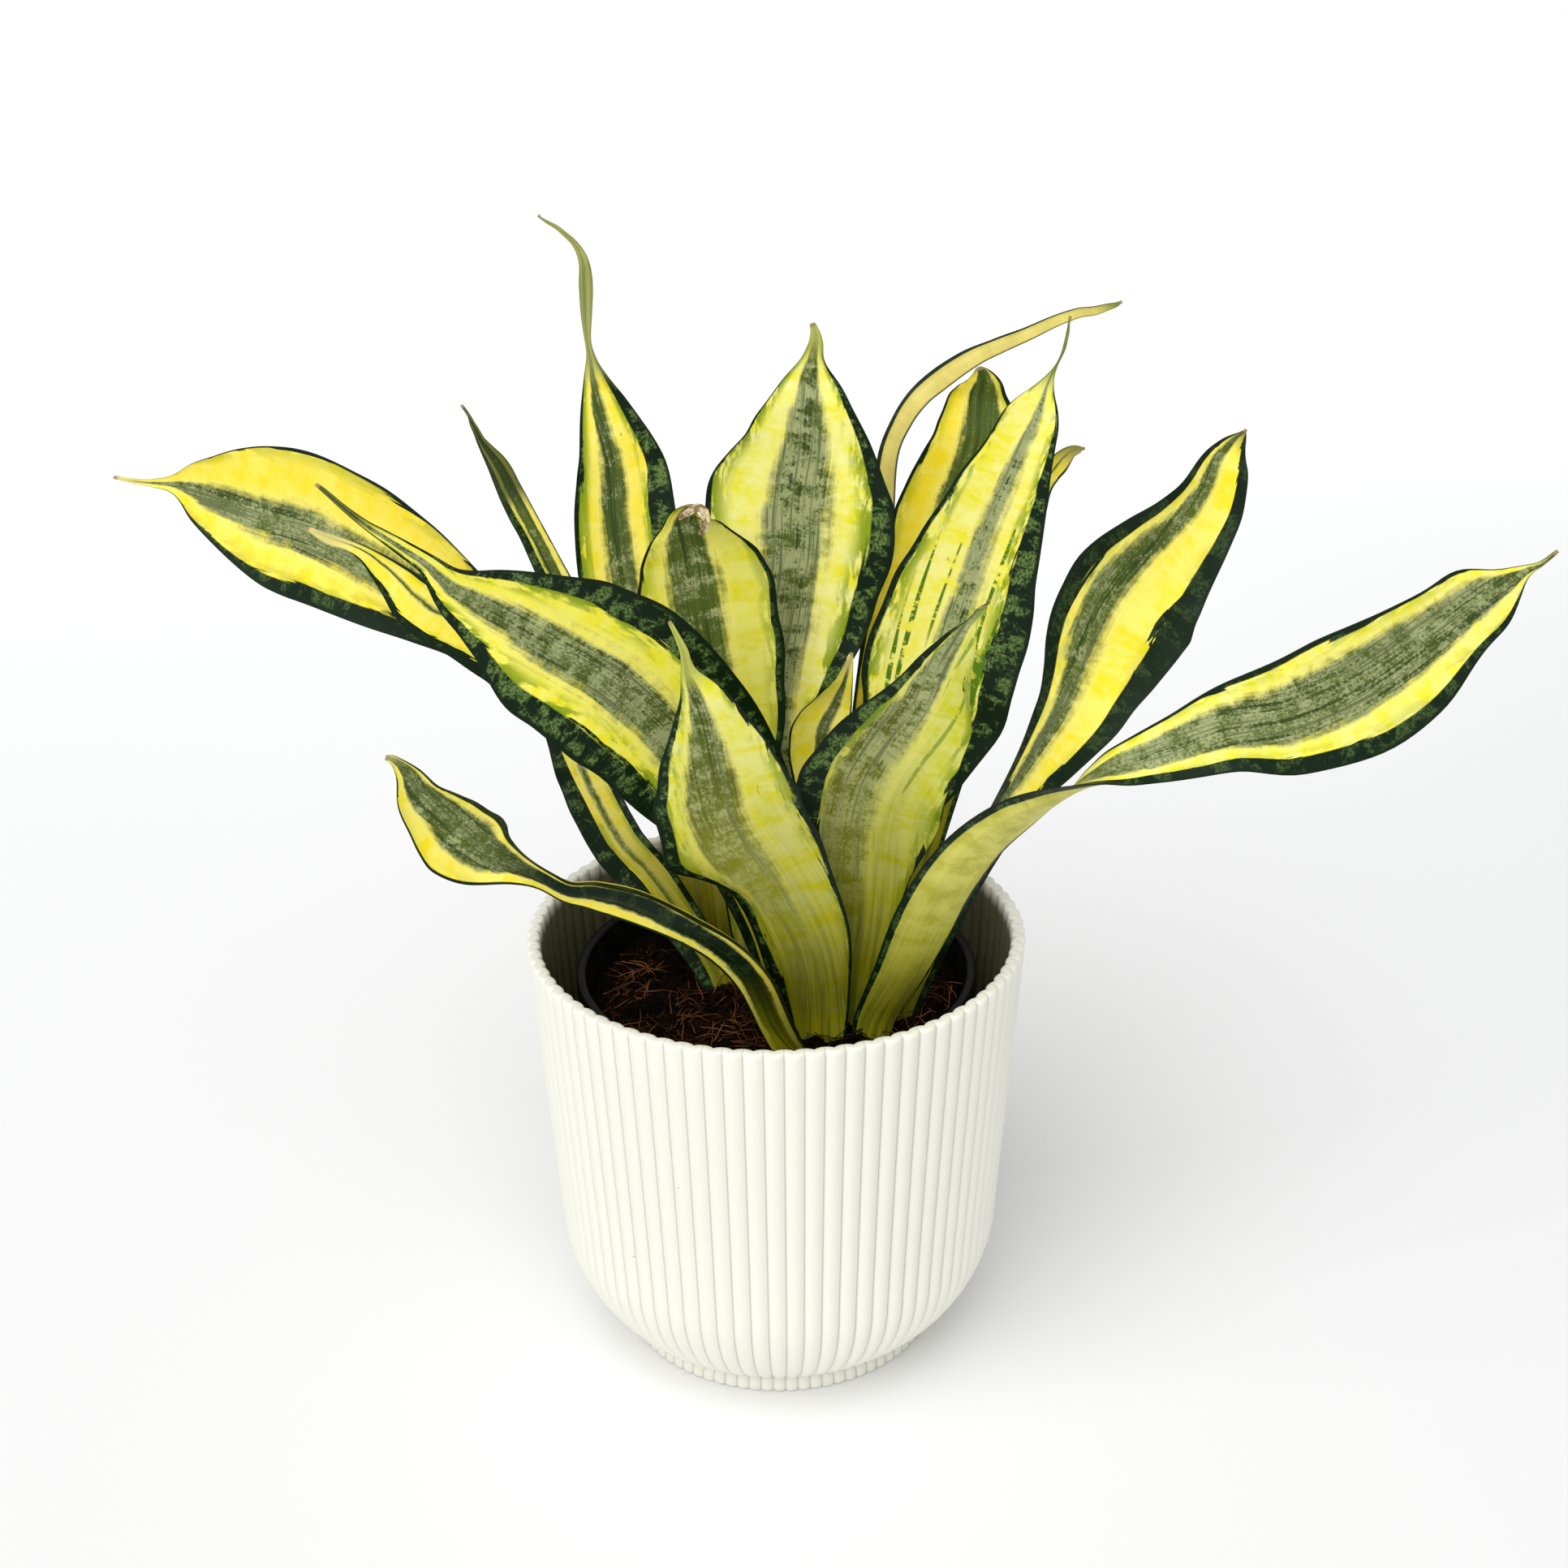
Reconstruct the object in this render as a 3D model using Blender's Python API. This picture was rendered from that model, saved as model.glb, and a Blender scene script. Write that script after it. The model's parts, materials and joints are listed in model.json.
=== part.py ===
"""Potted snake plant: a ribbed cover pot, a black nursery pot, coir, a rhizome and eighteen leaves.

Metres, +Z up. The origin is the centre of the cover pot's underside, and -Y is the front.
"""

from math import cos, pi, radians, sin, tau

import bmesh
import bpy
import numpy as np
from mathutils import Vector

MM = 0.001
GAP = 0.4  # between pieces that touch, in mm like every other size below

# Cover pot
POT_RADIUS = 70.0  # at the rim, over the ribs
POT_HEIGHT = 126.0
POT_DRAFT = 0.046  # radius lost for each mm below the rim
POT_WALL = 2.7  # from the bottom of a groove to the inside
RIB_COUNT = 82
RIB_DEPTH = 0.8
RIB_PHASE = radians(1.3)
BELLY_TOP = 38.0
BELLY_SQUARENESS = 1.6  # 1 is a quarter ellipse, and more draws the belly in sooner
FOOT_RADIUS = 47.0
FOOT_HEIGHT = 4.0
FOOT_WAIST = 45.5
POT_FLOOR = 6.0

# Nursery pot
INNER_RADIUS = 55.0
INNER_BASE_RADIUS = 40.0
INNER_TOP = 114.0
INNER_WALL = 1.2
INNER_FLOOR = 2.0
LIP_OUT = 1.5
LIP_HEIGHT = 4.0
DRAIN_HOLES = 6
DRAIN_RADIUS = 4.0
DRAIN_RING = 30.0
DRAIN_PHASE = radians(8)
INNER_SIDES = 48

# Coir
SOIL_TOP = 106.5
SOIL_MOUND = 1.5
SOCKET_FLOOR = 92.0

# Rhizome
RHIZOME_LEVEL = 90.5
RHIZOME_RADIUS = 7.5
RHIZOME_RUNS = (
    ((-13, 20), (4, 6), (17, -8), (20, -26)),
    ((10, 3), (20, 16), (24, 30)),
)

# A leaf is lofted through stations (x, y, z, half width, roll in degrees), from its base to its tip.
# At roll 0 its face looks to the front, and a positive roll brings its right margin forward.
RINGS = 20
LEAF_THICKNESS = 1.0
THICKER_WITH_WIDTH = 0.09
BASE_EXTRA = 1.2
LEAVES = {
    "leaf_far_left": (0.16, (
        (7, -3, 99, 5, 5), (3, -3, 113, 5.5, 5), (-6, 0, 137, 6, 5), (-22, 3, 155, 6, 10),
        (-42, 8, 180, 8, 12), (-71, 16, 204, 10, 10), (-87, 21, 215, 14.5, 5), (-105, 27, 225, 19, 0),
        (-124, 32, 234, 21, 0), (-140, 36, 238, 18.5, 0), (-155, 40, 242, 11, 0), (-165, 42, 244, 2.5, 0),
        (-174, 44, 244, 1, 0), (-182, 46, 245, 0.5, 0),
    )),
    "leaf_left_under": (0.16, (
        (5, -8, 99, 4.5, 0), (1, -8, 113, 5, 0), (-16, -6, 155, 6, 5), (-45, -1, 185, 7.5, 10),
        (-66, 2, 205, 11, 10), (-79, 4, 213, 9.5, 5), (-92, 5, 220, 8, 5), (-100, 7, 228, 5.5, 5),
        (-108, 8, 235, 3, 5), (-116, 9, 238, 2, 0), (-122, 9, 241, 0.6, 0),
    )),
    "leaf_left_broad": (0.14, (
        (8, -13, 99, 6, -10), (6, -13, 113, 7, -10), (-2, -18, 154, 12, -10), (-20, -22, 187, 20.5, -8),
        (-38, -26, 210, 23, -5), (-54, -29, 222, 21, 0), (-68, -31, 232, 13, 5), (-78, -32, 238, 7, 10),
        (-83, -33, 244, 3.5, 15), (-92, -34, 251, 2, 10), (-99, -36, 257, 1, 0), (-108, -37, 266, 0.5, 0),
    )),
    "leaf_back_left_narrow": (0.3, (
        (-8, 27, 99, 4, 0), (-12, 28, 112, 4, 0), (-25, 37, 135, 4, 0), (-45, 50, 174, 6.5, 10),
        (-65, 64, 214, 5, 20), (-73, 69, 229, 4.5, 20), (-78, 72, 239, 3.5, 10), (-83, 74, 246, 1.5, 0),
        (-85, 75, 250, 1, 0), (-89, 78, 256, 0.5, 0),
    )),
    "leaf_back_left_tall": (0.18, (
        (-15, 15, 99, 8, 0), (-17, 16, 112, 8.5, 0), (-22, 25, 149, 11, 0), (-33, 36, 189, 15, 0),
        (-40, 45, 220, 15, 0), (-41, 51, 239, 13.5, 0), (-43, 54, 251, 10.5, 0), (-47, 58, 264, 5.5, 10),
        (-49, 60, 273, 1.8, 30), (-50, 61, 279, 1, 20), (-50, 62, 290, 2, -10), (-50, 62, 299, 1.5, 0),
        (-53, 63, 305, 0.8, 0), (-58, 63, 309, 0.6, 0), (-62, 63, 312, 0.4, 0),
    )),
    "leaf_centre_tall": (0.12, (
        (8, 14, 99, 8, 0), (7, 15, 113, 9, 0), (4, 21, 151, 10.5, 0), (1, 26, 179, 13, 0),
        (4, 31, 202, 21, 0), (7, 35, 222, 25.5, 0), (8, 38, 238, 26, 0), (10, 40, 251, 20, 0),
        (11, 41, 264, 12, 0), (12, 43, 275, 5.5, 0), (13, 42, 282, 2, 0), (12, 42, 286, 0.8, 0),
    )),
    "leaf_centre_dried_tip": (0.14, (
        (-4, 7, 99, 6, 0), (-5, 8, 113, 7, 0), (-9, 13, 154, 9, 0), (-12, 17, 183, 15.5, 0),
        (-15, 20, 204, 18.5, 0), (-18, 23, 223, 18.5, 0), (-20, 24, 234, 13, 0), (-21, 24, 238, 7, 0),
        (-20, 22, 241, 3, 0),
    )),
    "leaf_back_right_arching": (0.3, (
        (18, 35, 99, 4, 0), (20, 36, 112, 4.5, 0), (29, 51, 175, 5, 20), (33, 60, 211, 5, 40),
        (35, 68, 241, 5, 55), (42, 72, 255, 5, 60), (51, 77, 262, 5, 60), (62, 81, 268, 4, 60),
        (74, 85, 272, 3, 60), (88, 90, 277, 2, 50), (97, 93, 278, 1.5, 40), (104, 95, 280, 0.5, 20),
    )),
    "leaf_back_right_wide": (0.16, (
        (19, 24, 99, 6, 0), (20, 25, 112, 7, 0), (28, 36, 149, 8, 0), (38, 46, 185, 13, 10),
        (47, 55, 211, 15.5, 10), (53, 61, 228, 16, 5), (59, 66, 246, 13, 0), (60, 70, 257, 9.5, 0),
        (61, 70, 263, 5.5, 0), (60, 70, 267, 1, 0),
    )),
    "leaf_right_tall": (0.14, (
        (23, 0, 99, 7, 0), (25, 1, 113, 8, 0), (31, 7, 154, 11, 0), (42, 13, 179, 18.5, 0),
        (46, 17, 196, 21.5, 0), (52, 22, 215, 20, 0), (58, 26, 231, 16, 0), (65, 29, 248, 11.5, 0),
        (70, 31, 259, 7, 0), (73, 32, 267, 3, 0), (75, 33, 272, 1, 0), (79, 33, 281, 0.6, 0),
        (80, 33, 289, 0.4, 0),
    )),
    "leaf_back_right_small": (0.3, (
        (34, 13, 99, 3.5, 0), (36, 14, 112, 3.5, 0), (51, 28, 160, 4, 0), (66, 44, 201, 4, 0),
        (75, 53, 227, 3, 10), (78, 56, 236, 2.5, 10), (82, 58, 242, 3, 0), (86, 60, 245, 1.8, 0),
        (90, 62, 245, 0.5, 0),
    )),
    "leaf_right": (0.18, (
        (34, -19, 99, 5, -35), (36, -19, 112, 5.5, -35), (49, -14, 141, 6, -30), (62, -8, 163, 7, -25),
        (73, -1, 176, 9.5, -10), (82, 4, 188, 12.5, 0), (88, 9, 200, 16.5, 0), (95, 13, 214, 20, 0),
        (103, 17, 223, 17.5, 0), (111, 21, 231, 13.5, 0), (118, 24, 240, 10, 0), (122, 26, 250, 7, 0),
        (125, 28, 255, 3.5, 0), (128, 28, 259, 0.5, 0),
    )),
    "leaf_far_right": (-0.22, (
        (26, -29, 99, 5.5, -10), (27, -29, 112, 6, -10), (35, -35, 132, 8, -15), (44, -40, 157, 9.5, -20),
        (55, -45, 174, 9.5, -30), (68, -47, 183, 10.5, -50), (78, -48, 189, 9.5, -70),
        (87, -47, 193, 7.5, -110), (100, -46, 198, 8.5, -150), (113, -46, 203, 12, -165),
        (129, -47, 207, 16.5, -175), (144, -48, 216, 18, -180), (155, -50, 226, 15, -180),
        (165, -52, 236, 9.5, -180), (172, -54, 242, 5, -180), (176, -55, 246, 2, -180),
        (180, -55, 248, 0.8, -180), (183, -57, 252, 0.5, -180),
    )),
    "leaf_front_right": (0.18, (
        (17, -20, 99, 7, 5), (18, -21, 113, 8, 5), (21, -27, 143, 10.5, 5), (23, -34, 176, 18.5, 5),
        (29, -38, 193, 17.5, 5), (37, -41, 207, 13, 0), (42, -42, 219, 7.5, 0), (46, -43, 227, 4, 0),
        (49, -43, 232, 1.2, 0), (53, -43, 239, 0.5, 0),
    )),
    "leaf_front": (-0.14, (
        (11, -29, 99, 6.5, 0), (11, -29, 113, 8.5, 0), (8, -37, 139, 12, 0), (-1, -44, 162, 15.5, 0),
        (-10, -50, 181, 18, 0), (-13, -53, 195, 15.5, 0), (-15, -56, 209, 10, 0), (-17, -58, 218, 6, 0),
        (-20, -58, 225, 2, 0), (-21, -59, 231, 1, 0), (-24, -59, 238, 0.5, 0),
    )),
    "leaf_front_left_folded": (0.45, (
        (6, -36, 99, 4, 0), (2, -36, 110, 4.5, 0), (-6, -43, 135, 5.5, 20), (-19, -49, 151, 6, 30),
        (-39, -53, 164, 7, 30), (-51, -54, 166, 4.5, 30), (-60, -54, 171, 4, 20), (-69, -54, 176, 8.5, 10),
        (-75, -55, 181, 11.5, 0), (-81, -56, 188, 9.5, 0), (-86, -58, 195, 6, 0), (-89, -59, 202, 2.5, 0),
        (-93, -60, 205, 0.6, 0),
    )),
    "leaf_centre_small": (0.25, (
        (12, 5, 99, 4, 0), (13, 5, 112, 4.5, 0), (13, 2, 157, 6, 0), (12, 1, 182, 8, 0),
        (16, 1, 192, 5.5, 0), (19, -1, 200, 2.5, 0), (21, -2, 208, 0.5, 0),
    )),
    "leaf_left_low": (0.2, (
        (-15, 0, 99, 5, 0), (-18, 3, 111, 5.5, 5), (-34, 12, 134, 8, 10), (-44, 16, 145, 8.5, 10),
        (-53, 22, 162, 8, 10), (-58, 26, 174, 6.5, 10), (-64, 30, 183, 4, 10), (-70, 32, 189, 0.6, 0),
    )),
}

# Across a leaf, as shares of its half width: the upper points, then the lower ones on the way back
UPPER = (-1.0, -0.5, 0.0, 0.5, 1.0)
LOWER = (0.4, -0.4)


def clear_scene():
    for old in list(bpy.data.objects):
        bpy.data.objects.remove(old, do_unlink=True)


def material(name, colour, roughness):
    made = bpy.data.materials.new(name)
    made.use_nodes = True
    shader = made.node_tree.nodes["Principled BSDF"]
    shader.inputs["Base Color"].default_value = (*colour, 1.0)
    shader.inputs["Roughness"].default_value = roughness
    shader.inputs["Metallic"].default_value = 0.0
    return made


def add_object(name, points_mm, faces, surface=None):
    """An object from points in mm. Its faces are turned outwards."""
    mesh = bpy.data.meshes.new(name)
    mesh.from_pydata([tuple(MM * value for value in point) for point in points_mm], [], faces)
    shell = bmesh.new()
    shell.from_mesh(mesh)
    if shell.calc_volume(signed=True) < 0:
        bmesh.ops.reverse_faces(shell, faces=shell.faces)
    shell.to_mesh(mesh)
    shell.free()
    mesh.shade_smooth()
    mesh.set_sharp_from_angle(angle=radians(35))
    made = bpy.data.objects.new(name, mesh)
    bpy.context.scene.collection.objects.link(made)
    if surface:
        mesh.materials.append(surface)
    return made


def as_cutter(cutter):
    cutter.hide_render = True
    cutter.display_type = "WIRE"
    return cutter


def boolean(target, other, operation, solver="EXACT"):
    cut = target.modifiers.new(other.name, "BOOLEAN")
    cut.operation = operation
    cut.solver = solver
    cut.object = other


def tube_faces(rings, sides):
    """Faces of a closed tube of rings, whose first and last points are the centres of its ends."""
    def at(ring, side):
        return 1 + ring * sides + side % sides

    last = 1 + rings * sides
    faces = [(0, at(0, side + 1), at(0, side)) for side in range(sides)]
    for ring in range(rings - 1):
        for side in range(sides):
            here = at(ring, side), at(ring, side + 1)
            faces.append((here[0], here[1], at(ring + 1, side + 1), at(ring + 1, side)))
    faces += [(last, at(rings - 1, side), at(rings - 1, side + 1)) for side in range(sides)]
    return faces


def turned(name, profile, sides, surface=None, scallop=None):
    """A solid turned about Z. The profile runs (radius, z) from one point on the axis to another."""
    points = [(0.0, 0.0, profile[0][1])]
    for index, (radius, height) in enumerate(profile[1:-1]):
        for side in range(sides):
            angle = side * tau / sides
            reach = radius - (scallop(index, side) if scallop else 0.0)
            points.append((reach * cos(angle), reach * sin(angle), height))
    points.append((0.0, 0.0, profile[-1][1]))
    return add_object(name, points, tube_faces(len(profile) - 2, sides), surface)


def belly_curve(outer, inner, steps):
    """Points of a belly from outer, where it is upright, to inner, at its foot."""
    (start_radius, start_z), (end_radius, end_z) = outer, inner
    angles = [step * pi / 2 / steps for step in range(1, steps)]
    return [
        (
            end_radius + (start_radius - end_radius) * cos(angle) ** BELLY_SQUARENESS,
            start_z + (end_z - start_z) * sin(angle),
        )
        for angle in angles
    ]


def pot_radius(height):
    return POT_RADIUS - POT_DRAFT * (POT_HEIGHT - height)


def add_cover_pot():
    """The ribs are ridges with straight sides here: two sides of the turned shape make one rib."""
    wall = POT_WALL + RIB_DEPTH
    belly = pot_radius(BELLY_TOP), BELLY_TOP
    waist = FOOT_WAIST, FOOT_HEIGHT + 1
    inner_belly = belly[0] - wall, BELLY_TOP
    inner_floor = FOOT_WAIST - wall, POT_FLOOR
    outside = [(FOOT_RADIUS, 0.0), (FOOT_RADIUS, FOOT_HEIGHT - 1), waist]
    outside += [*belly_curve(belly, waist, 6)[::-1], belly]
    outside.append((POT_RADIUS, POT_HEIGHT))
    inside = [(POT_RADIUS - wall, POT_HEIGHT), inner_belly]
    inside += [*belly_curve(inner_belly, inner_floor, 5), inner_floor]
    ribbed = len(outside)

    def groove(ring, side):
        return RIB_DEPTH if ring < ribbed and side % 2 else 0.0

    surface = material("cream_plastic", (0.88, 0.88, 0.80), 0.38)
    pot = turned("cover_pot", [(0, 0), *outside, *inside, (0, POT_FLOOR)], 2 * RIB_COUNT, surface, groove)
    pot.rotation_euler.z = RIB_PHASE
    return pot


def inner_pot_radius(height):
    share = (height - nursery_base()) / (INNER_TOP - nursery_base())
    return INNER_BASE_RADIUS + share * (INNER_RADIUS - INNER_BASE_RADIUS)


def nursery_base():
    return POT_FLOOR + GAP


def add_nursery_pot():
    base = nursery_base()
    floor = base + INNER_FLOOR
    under_lip = INNER_TOP - LIP_HEIGHT
    profile = [
        (0, base),
        (INNER_BASE_RADIUS - 2, base),
        (INNER_BASE_RADIUS, base + 2),
        (inner_pot_radius(under_lip), under_lip),
        (INNER_RADIUS + LIP_OUT, under_lip),
        (INNER_RADIUS + LIP_OUT, INNER_TOP),
        (INNER_RADIUS - INNER_WALL, INNER_TOP),
        (inner_pot_radius(floor) - INNER_WALL, floor),
        (0, floor),
    ]
    pot = turned("nursery_pot", profile, INNER_SIDES, material("black_plastic", (0.012, 0.012, 0.013), 0.45))
    for index in range(DRAIN_HOLES):
        angle = DRAIN_PHASE + index * tau / DRAIN_HOLES
        cutter = turned(f"drain_cutter_{index}", [
            (0, base - 5), (DRAIN_RADIUS, base - 5), (DRAIN_RADIUS, floor + 5), (0, floor + 5),
        ], 16)
        cutter.location = (MM * DRAIN_RING * cos(angle), MM * DRAIN_RING * sin(angle), 0)
        boolean(pot, as_cutter(cutter), "DIFFERENCE")
    return pot


def curve_through(values, count):
    """Rows read at equal steps along a Catmull-Rom curve through the given rows."""
    rows = np.array(values, float)
    last = len(rows) - 1
    read = []
    for place in np.linspace(0, last, count):
        start = min(int(place), last - 1)
        share = place - start
        before, here, there, after = (rows[min(max(start + step, 0), last)] for step in (-1, 0, 1, 2))
        read.append(0.5 * (
            2 * here
            + (there - before) * share
            + (2 * before - 5 * here + 4 * there - after) * share**2
            + (3 * here - before - 3 * there + after) * share**3
        ))
    return np.array(read)


def leaf_frames(spine, roll):
    """Unit vectors at each point of the spine: across the leaf to the right, and out of its face."""
    along = np.gradient(spine, axis=0)
    along /= np.linalg.norm(along, axis=1)[:, None]
    front = np.array((0.0, -1.0, 0.0))
    facing = front - along * (along @ front)[:, None]
    facing /= np.linalg.norm(facing, axis=1)[:, None]
    level = np.cross(along, facing)
    turn = np.radians(roll)[:, None]
    across = np.cos(turn) * level + np.sin(turn) * facing
    out = np.cos(turn) * facing - np.sin(turn) * level
    return across, out


def leaf_points(cup, stations, extra=0.0):
    """Rings of a leaf from base to tip, with the centre of each end. Extra swells it on every side."""
    read = curve_through(stations, RINGS)
    spine, half, roll = read[:, :3], np.maximum(read[:, 3], 0.4), read[:, 4]
    across, out = leaf_frames(spine, roll)
    share = np.linspace(0, 1, RINGS)
    thick = LEAF_THICKNESS + THICKER_WITH_WIDTH * half + BASE_EXTRA * (1 - share) ** 6
    thick = np.minimum(thick, 0.9 * half + 0.4)
    rings = []
    for place, side, normal, width, depth in zip(spine, across, out, half, thick):
        def section(share_across, below):
            reach = share_across * (width + 3 * extra)
            return place + side * reach + normal * (cup * reach**2 / width - below)

        ring = [section(share_across, -extra if abs(share_across) < 1 else 0) for share_across in UPPER]
        ring += [section(share_across, depth * (1 - share_across**2) + extra) for share_across in LOWER]
        rings.append(ring)
    centres = [np.mean(rings[end], axis=0) for end in (0, -1)]
    return [centres[0], *(point for ring in rings for point in ring), centres[1]]


def add_leaves():
    surface_of = leaf_materials()
    sides = len(UPPER) + len(LOWER)
    for name, (cup, stations) in LEAVES.items():
        add_object(name, leaf_points(cup, stations), tube_faces(RINGS, sides), surface_of[name])


def leaf_materials():
    """Young leaves are greener, and the large ones are mostly yellow."""
    wide = {name: max(row[3] for row in stations) for name, (_, stations) in LEAVES.items()}
    yellow = Vector((0.72, 0.66, 0.10))
    green = Vector((0.20, 0.26, 0.07))
    made = {}
    for name, width in wide.items():
        colour = green.lerp(yellow, min(width / 20, 1))
        made[name] = material(name, tuple(colour), 0.35)
    return made


def add_rhizome(extra=0.0, name="rhizome"):
    """Knobbly runs joined into one body."""
    surface = None if extra else material("rhizome", (0.62, 0.42, 0.20), 0.7)
    runs = []
    sides = 10
    for number, run in enumerate(RHIZOME_RUNS):
        centres = curve_through([(*place, RHIZOME_LEVEL) for place in run], 9)
        points = [centres[0] + (0, 0, 0)]
        for index, centre in enumerate(centres):
            ends = min(index, len(centres) - 1 - index)
            radius = RHIZOME_RADIUS * (0.55, 0.9, 1.0)[min(ends, 2)] * (1 - 0.06 * (index % 2)) + extra
            along = centres[min(index + 1, len(centres) - 1)] - centres[max(index - 1, 0)]
            level = np.array((along[1], -along[0], 0.0)) / np.linalg.norm(along[:2])
            for side in range(sides):
                angle = side * tau / sides
                points.append(centre + radius * (cos(angle) * level + sin(angle) * np.array((0, 0, 1.0))))
        points.append(centres[-1])
        run_name = f"{name}_{number}" if number else name
        runs.append(add_object(run_name, points, tube_faces(len(centres), sides), surface))
    boolean(runs[0], as_cutter(runs[1]), "UNION")
    return runs[0]


def leaf_socket(name, cup, stations):
    """A cutter around the part of a leaf that is in the coir."""
    points = leaf_points(cup, stations, GAP)
    sides = len(UPPER) + len(LOWER)
    rings = [points[1 + sides * ring : 1 + sides * (ring + 1)] for ring in range(RINGS)]
    lowest = [min(point[2] for point in ring) for ring in rings]
    kept = next(index for index, level in enumerate(lowest) if level > SOIL_TOP + 4) + 1
    rings = rings[:kept]
    down = np.array((0, 0, SOCKET_FLOOR - rings[0][2][2]))
    rings.insert(0, [point + down for point in rings[0]])
    ends = [np.mean(rings[end], axis=0) for end in (0, -1)]
    joined = [ends[0], *(point for ring in rings for point in ring), ends[1]]
    return as_cutter(add_object(f"socket_{name}", joined, tube_faces(len(rings), sides)))


def add_coir():
    floor = nursery_base() + INNER_FLOOR + GAP
    inset = INNER_WALL + GAP
    edge = SOIL_TOP - SOIL_MOUND
    profile = [
        (0, floor),
        (inner_pot_radius(floor) - inset, floor),
        (inner_pot_radius(edge) - inset, edge),
        (30, SOIL_TOP - 0.3 * SOIL_MOUND),
        (0, SOIL_TOP),
    ]
    coir = turned("coir", profile, INNER_SIDES, material("coir", (0.030, 0.016, 0.010), 0.95))
    boolean(coir, as_cutter(add_rhizome(GAP, "rhizome_cutter")), "DIFFERENCE")
    for name, (cup, stations) in LEAVES.items():
        # EXACT loses the coir at the socket of leaf_front_right
        boolean(coir, leaf_socket(name, cup, stations), "DIFFERENCE", "MANIFOLD")
    return coir


clear_scene()
add_cover_pot()
add_nursery_pot()
add_rhizome()
add_leaves()
add_coir()
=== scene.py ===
"""Looks of the potted snake plant: variegated leaves, ribbed cover pot, nursery pot and coir.

Metres, +Z up, -Y to the front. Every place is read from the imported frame.
"""

import json
from math import cos, pi, radians, sin, tau

import bmesh
import bpy
import numpy as np
from mathutils import Matrix, Vector

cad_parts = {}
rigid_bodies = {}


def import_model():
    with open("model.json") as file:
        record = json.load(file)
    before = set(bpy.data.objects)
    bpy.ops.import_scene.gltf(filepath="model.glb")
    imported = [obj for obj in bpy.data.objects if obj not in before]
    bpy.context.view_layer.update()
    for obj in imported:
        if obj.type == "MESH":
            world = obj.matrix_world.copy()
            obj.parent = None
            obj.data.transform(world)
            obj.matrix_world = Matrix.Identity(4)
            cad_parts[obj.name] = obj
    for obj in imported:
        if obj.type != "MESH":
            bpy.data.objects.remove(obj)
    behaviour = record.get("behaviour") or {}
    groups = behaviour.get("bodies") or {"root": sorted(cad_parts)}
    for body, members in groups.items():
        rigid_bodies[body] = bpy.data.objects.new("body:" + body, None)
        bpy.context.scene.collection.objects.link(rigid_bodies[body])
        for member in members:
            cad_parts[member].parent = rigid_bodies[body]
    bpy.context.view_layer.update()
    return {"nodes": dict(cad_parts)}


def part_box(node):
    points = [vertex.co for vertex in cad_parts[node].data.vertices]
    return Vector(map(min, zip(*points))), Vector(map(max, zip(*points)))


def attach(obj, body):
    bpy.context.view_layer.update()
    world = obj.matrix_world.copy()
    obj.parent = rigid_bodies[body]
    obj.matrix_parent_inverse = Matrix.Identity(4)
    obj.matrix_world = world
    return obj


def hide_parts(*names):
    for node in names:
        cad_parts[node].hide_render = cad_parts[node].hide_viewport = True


MM = 0.001

# Leaves: rows along, and points around each row's section
RING_POINTS = 7
ROWS_PER_RING = 6
SECTION_POINTS = 44
UV_LENGTH = 0.1  # one unit of v for each 100 mm along a leaf
LOWER_PLACE = 0.4  # share of the half width at which the CAD leaf's depth is read
ROLL_START = 0.45  # share of the half width past which a margin can roll
RIDGE_SPREAD = 0.3  # share of the half width
WIDTH_WOBBLE = 0.035  # share of the half width
CALM_WIDTH = 12 * MM  # narrower than this, a leaf's margins wave less
LEAST_HALF_WIDTH = 0.3 * MM
MARGIN_WAVE = 0.7 * MM
FIRST_SEED = 11
SEED_STEP = 7.3  # between the patterns of two leaves

# Cover pot
RIB_COUNT = 82
RIB_DEPTH = 1.25 * MM
RIB_PHASE = radians(1.3)
RIB_COLUMNS = 12
INNER_RIB_DEPTH = 1.0 * MM
POT_WALL = 3.5 * MM  # over the ribs
POT_DRAFT = 0.066
BELLY_HEIGHT = 38.0 * MM
BELLY_SQUARENESS = 1.6  # 1 is a quarter ellipse, and more draws the belly in sooner
FOOT_HEIGHT = 4.0 * MM
FOOT_RADIUS = 47.0 * MM
FOOT_WAIST = 45.6 * MM
POT_FLOOR = 6.0 * MM
POT_EDGE = 1.2 * MM

# Nursery pot
LIP_REACH = 2.7 * MM
LIP_DEPTH = 4.0 * MM
NURSERY_WALL = 1.2 * MM
NURSERY_TAPER = 12.0 * MM
NURSERY_SIDES = 144
DRAIN_HOLES = 6
DRAIN_RADIUS = 4.0 * MM
DRAIN_RING = 30.0 * MM
DRAIN_PHASE = radians(8)

# Coir
COIR_SIDES = 160
COIR_RINGS = 60
COIR_TAPER = 11.5 * MM
COIR_WAVES = 26
CLEAR_RINGS = 3  # left free of loose bits by the wall


# ---------------------------------------------------------------- nodes

class Output:
    """One output of a node. Sums, differences and products with it are further nodes of its tree."""

    def __init__(self, node, key=0):
        self.tree = node.id_data
        self.socket = node.outputs[key]

    def __add__(self, other):
        return calc("ADD", self, other)

    def __radd__(self, other):
        return calc("ADD", other, self)

    def __sub__(self, other):
        return calc("SUBTRACT", self, other)

    def __rsub__(self, other):
        return calc("SUBTRACT", other, self)

    def __mul__(self, other):
        return calc("MULTIPLY", self, other)


def fill(node, inputs):
    """Sets inputs by name or index: an Output is linked, and anything else becomes the socket's value."""
    for key, value in inputs.items():
        if isinstance(value, Output):
            value.tree.links.new(value.socket, node.inputs[key])
        else:
            node.inputs[key].default_value = value
    return node


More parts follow.
